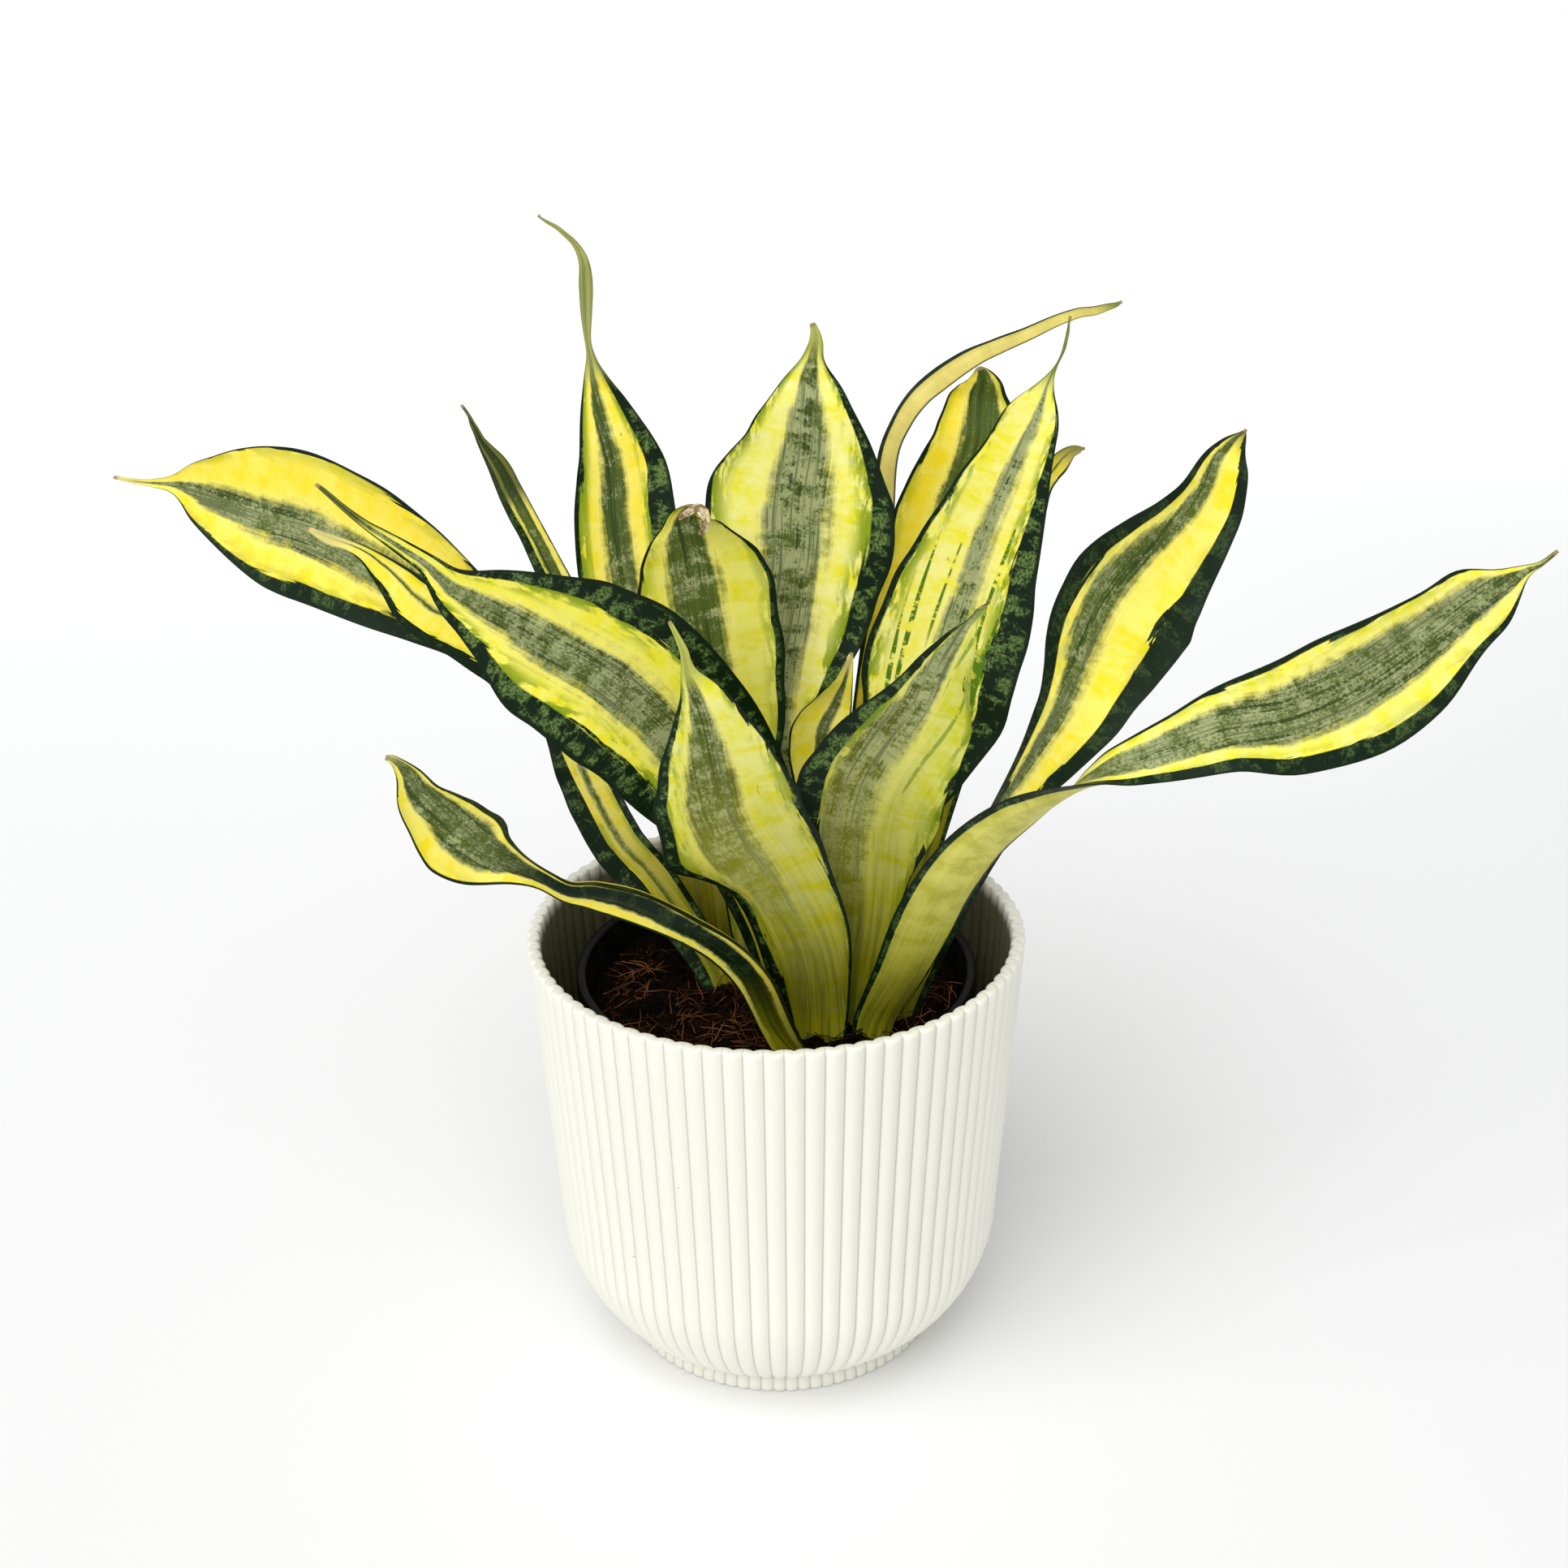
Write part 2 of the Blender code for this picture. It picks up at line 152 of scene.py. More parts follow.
def add_node(tree, kind, inputs=None, **settings):
    made = tree.nodes.new(kind)
    for key, value in settings.items():
        setattr(made, key, value)
    return fill(made, inputs or {})


def tree_of(*values):
    return next(value.tree for value in values if isinstance(value, Output))


def calc(operation, *values):
    return Output(add_node(tree_of(*values), "ShaderNodeMath", dict(enumerate(values)), operation=operation))


def rise(value, start, end):
    """0 below start, 1 above end, and smooth between."""
    limits = {"Value": value, "From Min": start, "From Max": end}
    return Output(add_node(value.tree, "ShaderNodeMapRange", limits, interpolation_type="SMOOTHSTEP"))


def mixed(share, first, second):
    """A colour: the first where share is 0, and the second where it is 1."""
    inputs = {0: share, 6: first, 7: second}
    return Output(add_node(tree_of(share, first, second), "ShaderNodeMix", inputs, data_type="RGBA"), 2)


def noise(vector, scale, detail=2.0, roughness=0.5, distortion=0.0):
    inputs = {
        "Vector": vector, "Scale": scale, "Detail": detail, "Roughness": roughness, "Distortion": distortion,
    }
    return Output(add_node(vector.tree, "ShaderNodeTexNoise", inputs), "Fac")


def parts_of(vector):
    split = add_node(vector.tree, "ShaderNodeSeparateXYZ", {0: vector})
    return [Output(split, index) for index in range(3)]


def rgba(red, green, blue):
    return (red, green, blue, 1.0)


def new_material(name):
    """A material and its shader."""
    made = bpy.data.materials.new(name)
    made.use_nodes = True
    return made, made.node_tree.nodes["Principled BSDF"]


def object_place(shader):
    return Output(add_node(shader.id_data, "ShaderNodeTexCoord"), "Object")


def add_bump(shader, height, strength, distance):
    inputs = {"Height": height, "Strength": strength, "Distance": distance}
    fill(shader, {"Normal": Output(add_node(height.tree, "ShaderNodeBump", inputs), "Normal")})


def add_sockets(tree, direction, kinds):
    """Gives a node group its named inputs or outputs."""
    for name, kind in kinds.items():
        tree.interface.new_socket(name, in_out=direction, socket_type=f"NodeSocket{kind}")


def inputs_of(tree):
    """A node group's inputs by name."""
    source = add_node(tree, "NodeGroupInput")
    return {socket.name: Output(source, socket.name) for socket in source.outputs if socket.name}


# ---------------------------------------------------------------- meshes

def place_in_scene(name, data):
    made = bpy.data.objects.new(name, data)
    bpy.context.scene.collection.objects.link(made)
    return made


def add_piece(name, points, faces, surface, smooth=True):
    mesh = bpy.data.meshes.new(name)
    mesh.from_pydata([tuple(point) for point in points], [], faces)
    mesh.materials.append(surface)
    if smooth:
        mesh.shade_smooth()
    return place_in_scene(name, mesh)


def circle(radius, height, sides):
    """Points round the Z axis."""
    angles = [side * tau / sides for side in range(sides)]
    return [(radius * cos(angle), radius * sin(angle), height) for angle in angles]


def capped(points, sides):
    """A tube's points with the centres of its two ends."""
    return [np.mean(points[:sides], axis=0), *points, np.mean(points[-sides:], axis=0)]


def finish_piece(piece, slot, *nodes):
    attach(piece, "root")
    if nodes:
        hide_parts(*nodes)


def made_plain(piece):
    """The piece with its modifiers applied."""
    graph = bpy.context.evaluated_depsgraph_get()
    mesh = bpy.data.meshes.new_from_object(piece.evaluated_get(graph), depsgraph=graph)
    piece.modifiers.clear()
    old = piece.data
    piece.data = mesh
    bpy.data.meshes.remove(old)
    return piece


def tube_faces(rows, sides):
    """Faces of a closed tube, whose first and last points are the centres of its ends."""
    def at(row, side):
        return 1 + row * sides + side % sides

    last = 1 + rows * sides
    faces = [(0, at(0, side + 1), at(0, side)) for side in range(sides)]
    for row in range(rows - 1):
        for side in range(sides):
            faces.append((at(row, side), at(row, side + 1), at(row + 1, side + 1), at(row + 1, side)))
    faces += [(last, at(rows - 1, side), at(rows - 1, side + 1)) for side in range(sides)]
    return faces


def curve_through(rows, per_span):
    """Rows read along a Catmull-Rom curve through the given rows."""
    last = len(rows) - 1
    read = []
    for place in np.linspace(0, last, last * per_span + 1):
        start = min(int(place), last - 1)
        share = place - start
        before, here, there, after = (rows[min(max(start + step, 0), last)] for step in (-1, 0, 1, 2))
        read.append(0.5 * (
            2 * here
            + (there - before) * share
            + (2 * before - 5 * here + 4 * there - after) * share**2
            + (3 * here - before - 3 * there + after) * share**3
        ))
    return np.array(read)


def unit(vectors):
    return vectors / np.linalg.norm(vectors, axis=-1, keepdims=True)

# ---------------------------------------------------------------- leaves

def ring_layers(node):
    """The CAD leaf's points in rings, from its base to its tip."""
    shell = bmesh.new()
    shell.from_mesh(node.data)
    bmesh.ops.remove_doubles(shell, verts=shell.verts, dist=0.002 * MM)
    lowest = sorted(shell.verts, key=lambda vertex: vertex.co.z)[:RING_POINTS]
    layers = [lowest]
    seen = set(lowest)
    while layers[-1]:
        near = {edge.other_vert(vertex) for vertex in layers[-1] for edge in vertex.link_edges} - seen
        layers.append(sorted(near, key=lambda vertex: vertex.index))
        seen |= near
    whole = [layer for layer in layers if len(layer) >= RING_POINTS - 1]
    rings = [np.array([tuple(vertex.co) for vertex in layer]) for layer in whole]
    shell.free()
    return rings


def read_ring(ring, across, out):
    """One row of (place, across, out, half width, cup, depth), facing the same way as the row before."""
    spans = np.linalg.norm(ring[:, None] - ring[None], axis=-1)
    first, second = np.unravel_index(spans.argmax(), spans.shape)
    left, right = ring[first], ring[second]
    if (right - left) @ across < 0:
        left, right = right, left
    side = unit(right - left)
    half = spans.max() / 2
    others = np.delete(ring, [first, second], axis=0)
    shares = (others - (left + right) / 2) @ side / half
    along = np.linalg.svd(ring - ring.mean(0))[2][2]
    normal = np.cross(side, along)
    if normal @ out < 0:
        normal = -normal
    centre = others[np.abs(shares).argmin()]
    lower = ((others - centre) @ normal).min()
    cup = ((left + right) / 2 - centre) @ normal
    depth = max((LOWER_PLACE**2 * cup - lower) / (1 - LOWER_PLACE**2), 0.2 * MM)
    return (*centre, *side, *normal, half, cup, depth)


def leaf_stations(node):
    """The CAD leaf's rows of (place, across, out, half width, cup, depth)."""
    across, out = Vector((1, 0, 0)), Vector((0, -1, 0))
    rows = []
    for ring in ring_layers(node):
        rows.append(read_ring(ring, across, out))
        across, out = np.array(rows[-1][3:6]), np.array(rows[-1][6:9])
    return np.array(rows)


def smooth_noise(rng, count, step):
    """Values from -1 to 1 that change slowly, with one free value for each step."""
    knots = rng.uniform(-1, 1, int(count / step) + 3)
    return np.interp(np.arange(count) / step, np.arange(len(knots)), knots)


def softened(values, times):
    for _ in range(times):
        values = np.convolve(np.pad(values, 1, mode="edge"), (0.25, 0.5, 0.25), mode="valid")
    return values


def bumps_along(share, bumps, side):
    """The sum of smooth bumps (side, place, extent, size) on one side, read along the leaf."""
    total = np.zeros(len(share))
    for bump_side, place, extent, size in bumps:
        if bump_side == side:
            total += size * np.exp(-(((share - place) / extent) ** 2))
    return total


def rolled(reach, half, start, angle):
    """Where a point at reach comes to, across and out, when the margin past start is rolled by an angle."""
    past = max(abs(reach) - start, 0.0) * half
    if past == 0 or abs(angle) < 0.01:
        return reach * half, 0.0, 0.0
    radius = (1 - start) * half / angle
    turn = past / radius
    side = 1 if reach > 0 else -1
    return side * (start * half + radius * sin(turn)), radius * (1 - cos(turn)), side * turn

def margins_along(rng, share, half, look):
    """For each margin, its wave, width and roll along the leaf."""
    count = len(share)
    calm = np.clip(half / CALM_WIDTH, 0, 1)
    margins = {}
    for hand in (-1, 1):
        wave = softened(smooth_noise(rng, count, 5), 2)
        wobble = softened(smooth_noise(rng, count, 4), 2)
        flare = bumps_along(share, look["flares"], hand) * MM
        width = np.maximum(half * (1 + WIDTH_WOBBLE * wobble * calm) + flare, LEAST_HALF_WIDTH)
        margins[hand] = wave * MARGIN_WAVE * calm, width, bumps_along(share, look["rolls"], hand)
    return margins


def section_point(angle, half, cup, depth, ridge, margins):
    """A point of the leaf's section: how far across and out it is, and how far along the surface."""
    reach = -cos(angle)
    wave, width, roll = margins[1 if reach > 0 else -1]
    wide = half + (width - half) * min(abs(reach) * 1.5, 1)
    x, z, turn = rolled(reach, wide, ROLL_START, roll)
    z += cup * reach**2 + wave * abs(reach) ** 5
    z += ridge * np.exp(-((reach / RIDGE_SPREAD) ** 2))
    if angle > pi:
        bulge = abs(sin(angle))
        below = depth * bulge * (0.4 + 0.6 * bulge)
        x += below * sin(turn)
        z -= below * cos(turn)
    return x, z, reach * wide


def map_leaf(leaf, across_of, along_of, layers):
    """A map with u from margin to margin and v along, and one attribute for each layer."""
    mapping = leaf.data.uv_layers.new(name="leaf_map")
    for loop in leaf.data.loops:
        vertex = loop.vertex_index
        mapping.data[loop.index].uv = (across_of[vertex], along_of[vertex] / UV_LENGTH)
    for name, values in layers.items():
        leaf.data.attributes.new(name, "FLOAT", "POINT").data.foreach_set("value", values)


def add_leaf(node, look, seed, skin):
    """A fine leaf over the CAD one, with a wavy margin and a map of u across and v along."""
    rng = np.random.default_rng(seed)
    rows = curve_through(leaf_stations(node), ROWS_PER_RING)
    place, side, out = rows[:, 0:3], unit(rows[:, 3:6]), unit(rows[:, 6:9])
    half, depth = (np.maximum(rows[:, column], LEAST_HALF_WIDTH) for column in (9, 11))
    cup = rows[:, 10]
    steps = np.linalg.norm(np.diff(place, axis=0), axis=1)
    length = np.concatenate(([0.0], np.cumsum(steps)))
    share = length / length[-1]
    margins = margins_along(rng, share, half, look)
    ridge = bumps_along(share, look["ridges"], 0) * MM
    points, across_of, along_of, under_of, off_of = [], [0.5], [0.0], [0.0], [0.0]
    for row in range(len(rows)):
        here = {hand: [values[row] for values in margin] for hand, margin in margins.items()}
        for angle in np.arange(SECTION_POINTS) * tau / SECTION_POINTS:
            x, z, off = section_point(angle, half[row], cup[row], depth[row], ridge[row], here)
            points.append(place[row] + side[row] * x + out[row] * z)
            across_of.append((1 - cos(angle)) / 2)
            along_of.append(length[row])
            under_of.append(float(angle < pi if look["turned"] else angle > pi))
            off_of.append(off)
    faces = tube_faces(len(rows), SECTION_POINTS)
    leaf = add_piece(f"{node.name}_blade", capped(points, SECTION_POINTS), faces, skin)
    map_leaf(leaf, [*across_of, 0.5], [*along_of, length[-1]], {
        "under": [*under_of, 0.0],
        "along": [value / length[-1] for value in (*along_of, length[-1])],
        "off_axis": [value / UV_LENGTH for value in (*off_of, 0.0)],
    })
    finish_piece(leaf, "leaf", node.name)


# ---------------------------------------------------------------- leaf skin

LEAF_NUMBERS = {
    "Dark Left": 0.12, "Silver Left": 0.35, "Silver Right": 0.6, "Dark Right": 0.9, "Ragged": 0.03,
    "Mottle": 0.5, "Streaks": 0.0, "Warmth": 0.3, "Silver Shade": 0.6, "Silver Start": 0.3,
    "Olive Reach": 0.35, "Cream": 0.7, "Slant": 0.0, "Dark Fold": 0.0, "Wash": 0.4, "Tail Start": 0.93,
    "Seed": 0.0, "Cross": 0.35, "Tip Thin": 0.4, "Green": 0.0,
}
LIME, LIME_SMUDGE, CREAM_SMUDGE = rgba(0.90, 0.84, 0.014), rgba(0.95, 0.90, 0.07), rgba(0.96, 0.93, 0.34)
GOLD, GOLD_SMUDGE = rgba(0.95, 0.70, 0.014), rgba(0.97, 0.83, 0.10)
SHADED_MOSS, SHADED_MOSS_SMUDGE = rgba(0.34, 0.37, 0.012), rgba(0.46, 0.48, 0.06)
PALE_FRINGE = rgba(0.90, 0.83, 0.22)
CREEPING_GREEN, GREEN_HAZE = rgba(0.13, 0.24, 0.006), rgba(0.45, 0.52, 0.012)
STREAK_GREEN = rgba(0.09, 0.20, 0.004)
SCAR_BROWN = rgba(0.40, 0.17, 0.012)
DARK_OLIVE, OLIVE = rgba(0.030, 0.052, 0.011), rgba(0.13, 0.18, 0.020)
SILVER = rgba(0.37, 0.405, 0.185)
SILVER_LINES = rgba(0.026, 0.044, 0.010)
DEEP_GREEN, PATCH_GREEN = rgba(0.0028, 0.0135, 0.0032), rgba(0.018, 0.060, 0.007)
PALE_SPECKS = rgba(0.140, 0.205, 0.060)
BACK_LIME, BACK_CREAM = rgba(0.42, 0.43, 0.022), rgba(0.70, 0.67, 0.13)
BACK_BUFF, BACK_RIM = rgba(0.72, 0.56, 0.20), rgba(0.30, 0.32, 0.03)
FOOT_GREEN_AND_SHADE, FOOT_LINES = rgba(0.30, 0.28, 0.003), rgba(0.13, 0.14, 0.002)
OUTLINE = rgba(0.004, 0.013, 0.004)
DRY_POINT = rgba(0.34, 0.25, 0.11)
GREEN_TAIL = rgba(0.10, 0.15, 0.018)
DARK_TAIL = rgba(0.022, 0.040, 0.012)
CREAM_TAIL = rgba(0.66, 0.60, 0.24)


def step_up(value, limit, blur):
    return rise(value, limit - blur, limit + blur)


class LeafSkin:
    """The nodes of dark margins, yellow bands and a silver centre, from the leaf's own map."""

    def __init__(self, group):
        self.given = inputs_of(group)
        flat = Output(add_node(group, "ShaderNodeUVMap", uv_map="leaf_map"))
        self.across, self.along = parts_of(flat)[:2]
        self.under, self.share, self.off_axis = (
            Output(add_node(group, "ShaderNodeAttribute", attribute_name=name), "Fac")
            for name in ("under", "along", "off_axis")
        )
        self.rim = calc("ABSOLUTE", self.across - 0.5) * 2.0
        self.rows = self.field(9.0, 19.0, 2.0, 5.0, 0.60, 0.6)
        self.clumps = self.field(16.0, 22.0, 4.0, 6.0, 0.72, 0.3)
        self.grain = self.field(150.0, 110.0, 6.0, 3.0, 0.7)
        self.threads = self.field(75.0, 1.8, 8.0, 3.0, 0.65)
        self.sway = (self.field(2.0, 3.0, 10.0, 1.0) - 0.5) * 0.12
        self.left_limit, self.right_limit = self.margin_limits()
        self.centre_place = self.swayed_place()

    def field(self, fine, long, shift, detail=3.0, roughness=0.6, distortion=0.0):
        """Noise with fine features across and long along, each given as a count in 100 mm."""
        place = add_node(self.across.tree, "ShaderNodeCombineXYZ", {
            0: self.off_axis * fine, 1: self.along * long, 2: self.given["Seed"] + shift,
        })
        return noise(Output(place), 1.0, detail, roughness, distortion)

    def margin_limits(self):
        """Where the left dark margin ends and the right one starts, across the leaf."""
        given = self.given
        teeth = rise(self.field(26.0, 2.4, 12.0, 4.0, 0.62), 0.53, 0.62) * given["Ragged"]
        nibble = (self.field(60.0, 18.0, 14.0, 4.0, 0.7) - 0.5) * 0.012
        grown = teeth + nibble + self.sway * 0.5
        thin = 1.0 - self.under * (given["Wash"] * 0.45)
        thin = thin * (1.0 - rise(self.share, 0.60, 0.97) * given["Tip Thin"])
        left = (given["Dark Left"] + grown) * thin
        right = 1.0 - (1.0 - given["Dark Right"] + grown) * thin
        return left, right

    def swayed_place(self):
        """Places across, moved about so that the centre's edges feather and follow its slant."""
        feather = (self.field(50.0, 1.8, 16.0, 4.0, 0.65) - 0.5) * 0.16
        place = self.across + (feather + (self.sway + (self.clumps - 0.5) * 0.14))
        return place - (self.share - 0.5) * self.given["Slant"]

    def dark(self):
        """1 on the margins."""
        left_dark = 1.0 - step_up(self.across, self.left_limit, 0.006)
        return calc("MAXIMUM", left_dark, step_up(self.across, self.right_limit, 0.006))

    def centre(self):
        """1 on the silver centre."""
        given = self.given
        left_of = step_up(self.centre_place, given["Silver Left"], 0.035)
        right_of = 1.0 - step_up(self.centre_place, given["Silver Right"], 0.05)
        grown = 1.0 - (1.0 - rise(self.share, 0.02, given["Silver Start"])) * 0.9
        return left_of * right_of * grown

    def yellow(self):
        """Yellow, with pale smudges in rows, a pale fringe by the centre and a few scars."""
        given = self.given
        smudge = rise(self.rows * 0.55 + self.clumps * 0.45, 0.36, 0.60)
        lime = mixed(smudge, LIME, mixed(given["Cream"], LIME_SMUDGE, CREAM_SMUDGE))
        gold = mixed(smudge * 0.6, GOLD, GOLD_SMUDGE)
        colour = mixed(given["Warmth"], lime, gold)
        # Green turns the yellow towards moss: partly the leaf's own yellow-green and partly painted shade on
        # leaves that stand in shade.
        colour = mixed(given["Green"], colour, mixed(smudge, SHADED_MOSS, SHADED_MOSS_SMUDGE))
        to_left, painted_shade_right = (
            calc("ABSOLUTE", self.centre_place - given[name]) for name in ("Silver Left", "Silver Right")
        )
        fringe = 1.0 - rise(calc("MINIMUM", to_left, painted_shade_right), 0.02, 0.10)
        colour = self.greened(mixed(fringe * 0.5, colour, PALE_FRINGE))
        scars = rise(self.field(34.0, 14.0, 19.0, 2.0), 0.74, 0.79) * 0.6
        return mixed(scars, colour, SCAR_BROWN)

    def greened(self, colour):
        """Green that creeps in from the margins, and green streaks."""
        given = self.given
        to_dark = calc("MINIMUM", self.across - self.left_limit, self.right_limit - self.across)
        drifts = self.field(24.0, 7.0, 15.0, 5.0, 0.65)
        creep = (1.0 - rise(to_dark, 0.0, 0.13)) * rise(drifts, 0.45, 0.54)
        colour = mixed(creep * given["Mottle"], colour, CREEPING_GREEN)
        haze = (1.0 - rise(to_dark, 0.0, 0.15)) * (rise(drifts, 0.38, 0.60) * 0.4)
        colour = mixed(haze * given["Mottle"], colour, GREEN_HAZE)
        dashes = rise(self.field(32.0, 1.6, 18.0, 1.0), 0.575, 0.63) * rise(self.clumps, 0.42, 0.50)
        return mixed(dashes * given["Streaks"], colour, STREAK_GREEN)

    def silver(self):
        """Pale specks gathered in rows over olive green, and dark lines along."""
        given = self.given
        crossed = self.rows * given["Cross"] + (1.0 - given["Cross"]) * 0.5
        mass = crossed * 0.60 + self.clumps * 0.35 + (self.threads * 0.35 + self.grain * 0.35)
        middle = 0.99 - given["Silver Shade"] * 0.26
        olive = mixed(rise(self.threads, 0.3, 0.7), DARK_OLIVE, OLIVE)
        colour = mixed(step_up(mass, middle, 0.065), olive, SILVER)
        return mixed(rise(self.threads, 0.52, 0.62) * 0.65, colour, SILVER_LINES)

    def deep(self):
        """Nearly black green, with pale specks in clumps away from the rim."""
        inner = 1.0 - rise(self.rim, 0.90, 0.97)
        patches = rise(self.rows * 0.4 + self.clumps * 0.6, 0.485, 0.55) * inner
        specks = patches * rise(self.grain, 0.42, 0.56)
        colour = mixed(patches * self.given["Mottle"], DEEP_GREEN, PATCH_GREEN)
        return mixed(specks * self.given["Mottle"], colour, PALE_SPECKS)

    def washed(self, colour):
        """The paler back of a leaf, and its green foot, partly the leaf's own olive and partly painted
        shade.
        """
        given = self.given
        back = mixed(rise(self.rows * 0.5 + self.clumps * 0.5, 0.36, 0.62), BACK_LIME, BACK_CREAM)
        back = mixed(given["Warmth"], back, BACK_BUFF)
        back = mixed(rise(self.rim, 0.45, 1.0) * 0.5, back, BACK_RIM)
        colour = mixed(self.under * given["Wash"], colour, back)
        # Partly painted shade: the foot's olive is darker towards the base than the leaf's own colour.
        foot = (1.0 - rise(self.share, 0.02, given["Olive Reach"])) * 0.95
        return mixed(foot, colour, mixed(rise(self.threads, 0.40, 0.62), FOOT_GREEN_AND_SHADE, FOOT_LINES))

    def ended(self, colour):
        """The dark outline where a leaf has dark margins, its tail and its dry point."""
        given = self.given
        at_right = rise(self.across, 0.45, 0.55)
        lined = (1.0 - at_right) * given["Dark Left"] + at_right * (1.0 - given["Dark Right"])
        outline = rise(self.rim, 0.962, 0.985) * rise(lined, 0.0, 0.02)
        colour = mixed(outline, colour, OUTLINE)
        tail = rise(self.share, given["Tail Start"], given["Tail Start"] + 0.05)
        colour = mixed(tail * 0.85, colour, given["Tail Colour"])
        return mixed(rise(self.share, 0.993, 0.998), colour, DRY_POINT)

    def colour(self):
        deep = self.deep()
        in_fold = (1.0 - rise(self.share, 0.66, 0.80)) * self.given["Dark Fold"]
        bright = mixed(self.centre(), self.yellow(), mixed(in_fold, self.silver(), deep))
        return self.ended(mixed(self.dark(), self.washed(bright), deep))

    def relief(self):
        lines = self.field(130.0, 1.5, 22.0, 2.0) * 0.7 + self.field(90.0, 100.0, 24.0, 2.0) * 0.25
        return lines + self.field(9.0, 30.0, 26.0, 2.0) * 0.8

    def gloss(self):
        return 0.33 + self.field(30.0, 12.0, 28.0) * 0.20


def variegation_group():
    """One node group for every leaf's skin, with the leaf's numbers as its inputs."""
    group = bpy.data.node_groups.new("golden_variegation", "ShaderNodeTree")
    add_sockets(group, "INPUT", {name: "Float" for name in LEAF_NUMBERS})
    add_sockets(group, "INPUT", {"Tail Colour": "Color"})
    add_sockets(group, "OUTPUT", {"Colour": "Color", "Height": "Float", "Gloss": "Float"})
    skin = LeafSkin(group)
    add_node(group, "NodeGroupOutput", {0: skin.colour(), 1: skin.relief(), 2: skin.gloss()})
    return group


def leaf_finish(name, look, seed, group):
    made, shader = new_material(f"{name}_skin")
    bands = dict(zip(("Dark Left", "Silver Left", "Silver Right", "Dark Right"), look["bands"]))
    own = {"Seed": SEED_STEP * seed, "Tail Colour": look["tail"]}
    pattern = add_node(made.node_tree, "ShaderNodeGroup", node_tree=group)
    fill(pattern, {**LEAF_NUMBERS, **look["numbers"], **bands, **own})
    fill(shader, {
        "Base Color": Output(pattern, "Colour"), "Roughness": Output(pattern, "Gloss"),
        "Specular IOR Level": 0.15, "Subsurface Weight": 0.05, "Subsurface Radius": (0.9, 0.8, 0.2),
        "Subsurface Scale": 0.0015,
    })
    add_bump(shader, Output(pattern, "Height"), 0.30, 0.25 * MM)
    return made


def leaf_look(bands, tail=GREEN_TAIL, turned=False, flares=(), rolls=(), ridges=(), **numbers):
    """One leaf's look. Bands are where dark, yellow, silver, yellow and dark meet, from left (0) to right.

    Flares, rolls and ridges are (side, place along, extent, mm or radians). A turned leaf shows its back.
    """
    named = {key.replace("_", " ").title(): value for key, value in numbers.items()}
    return {
        "bands": bands, "tail": tail, "turned": turned, "numbers": named,
        "flares": flares, "rolls": rolls, "ridges": ridges,
    }


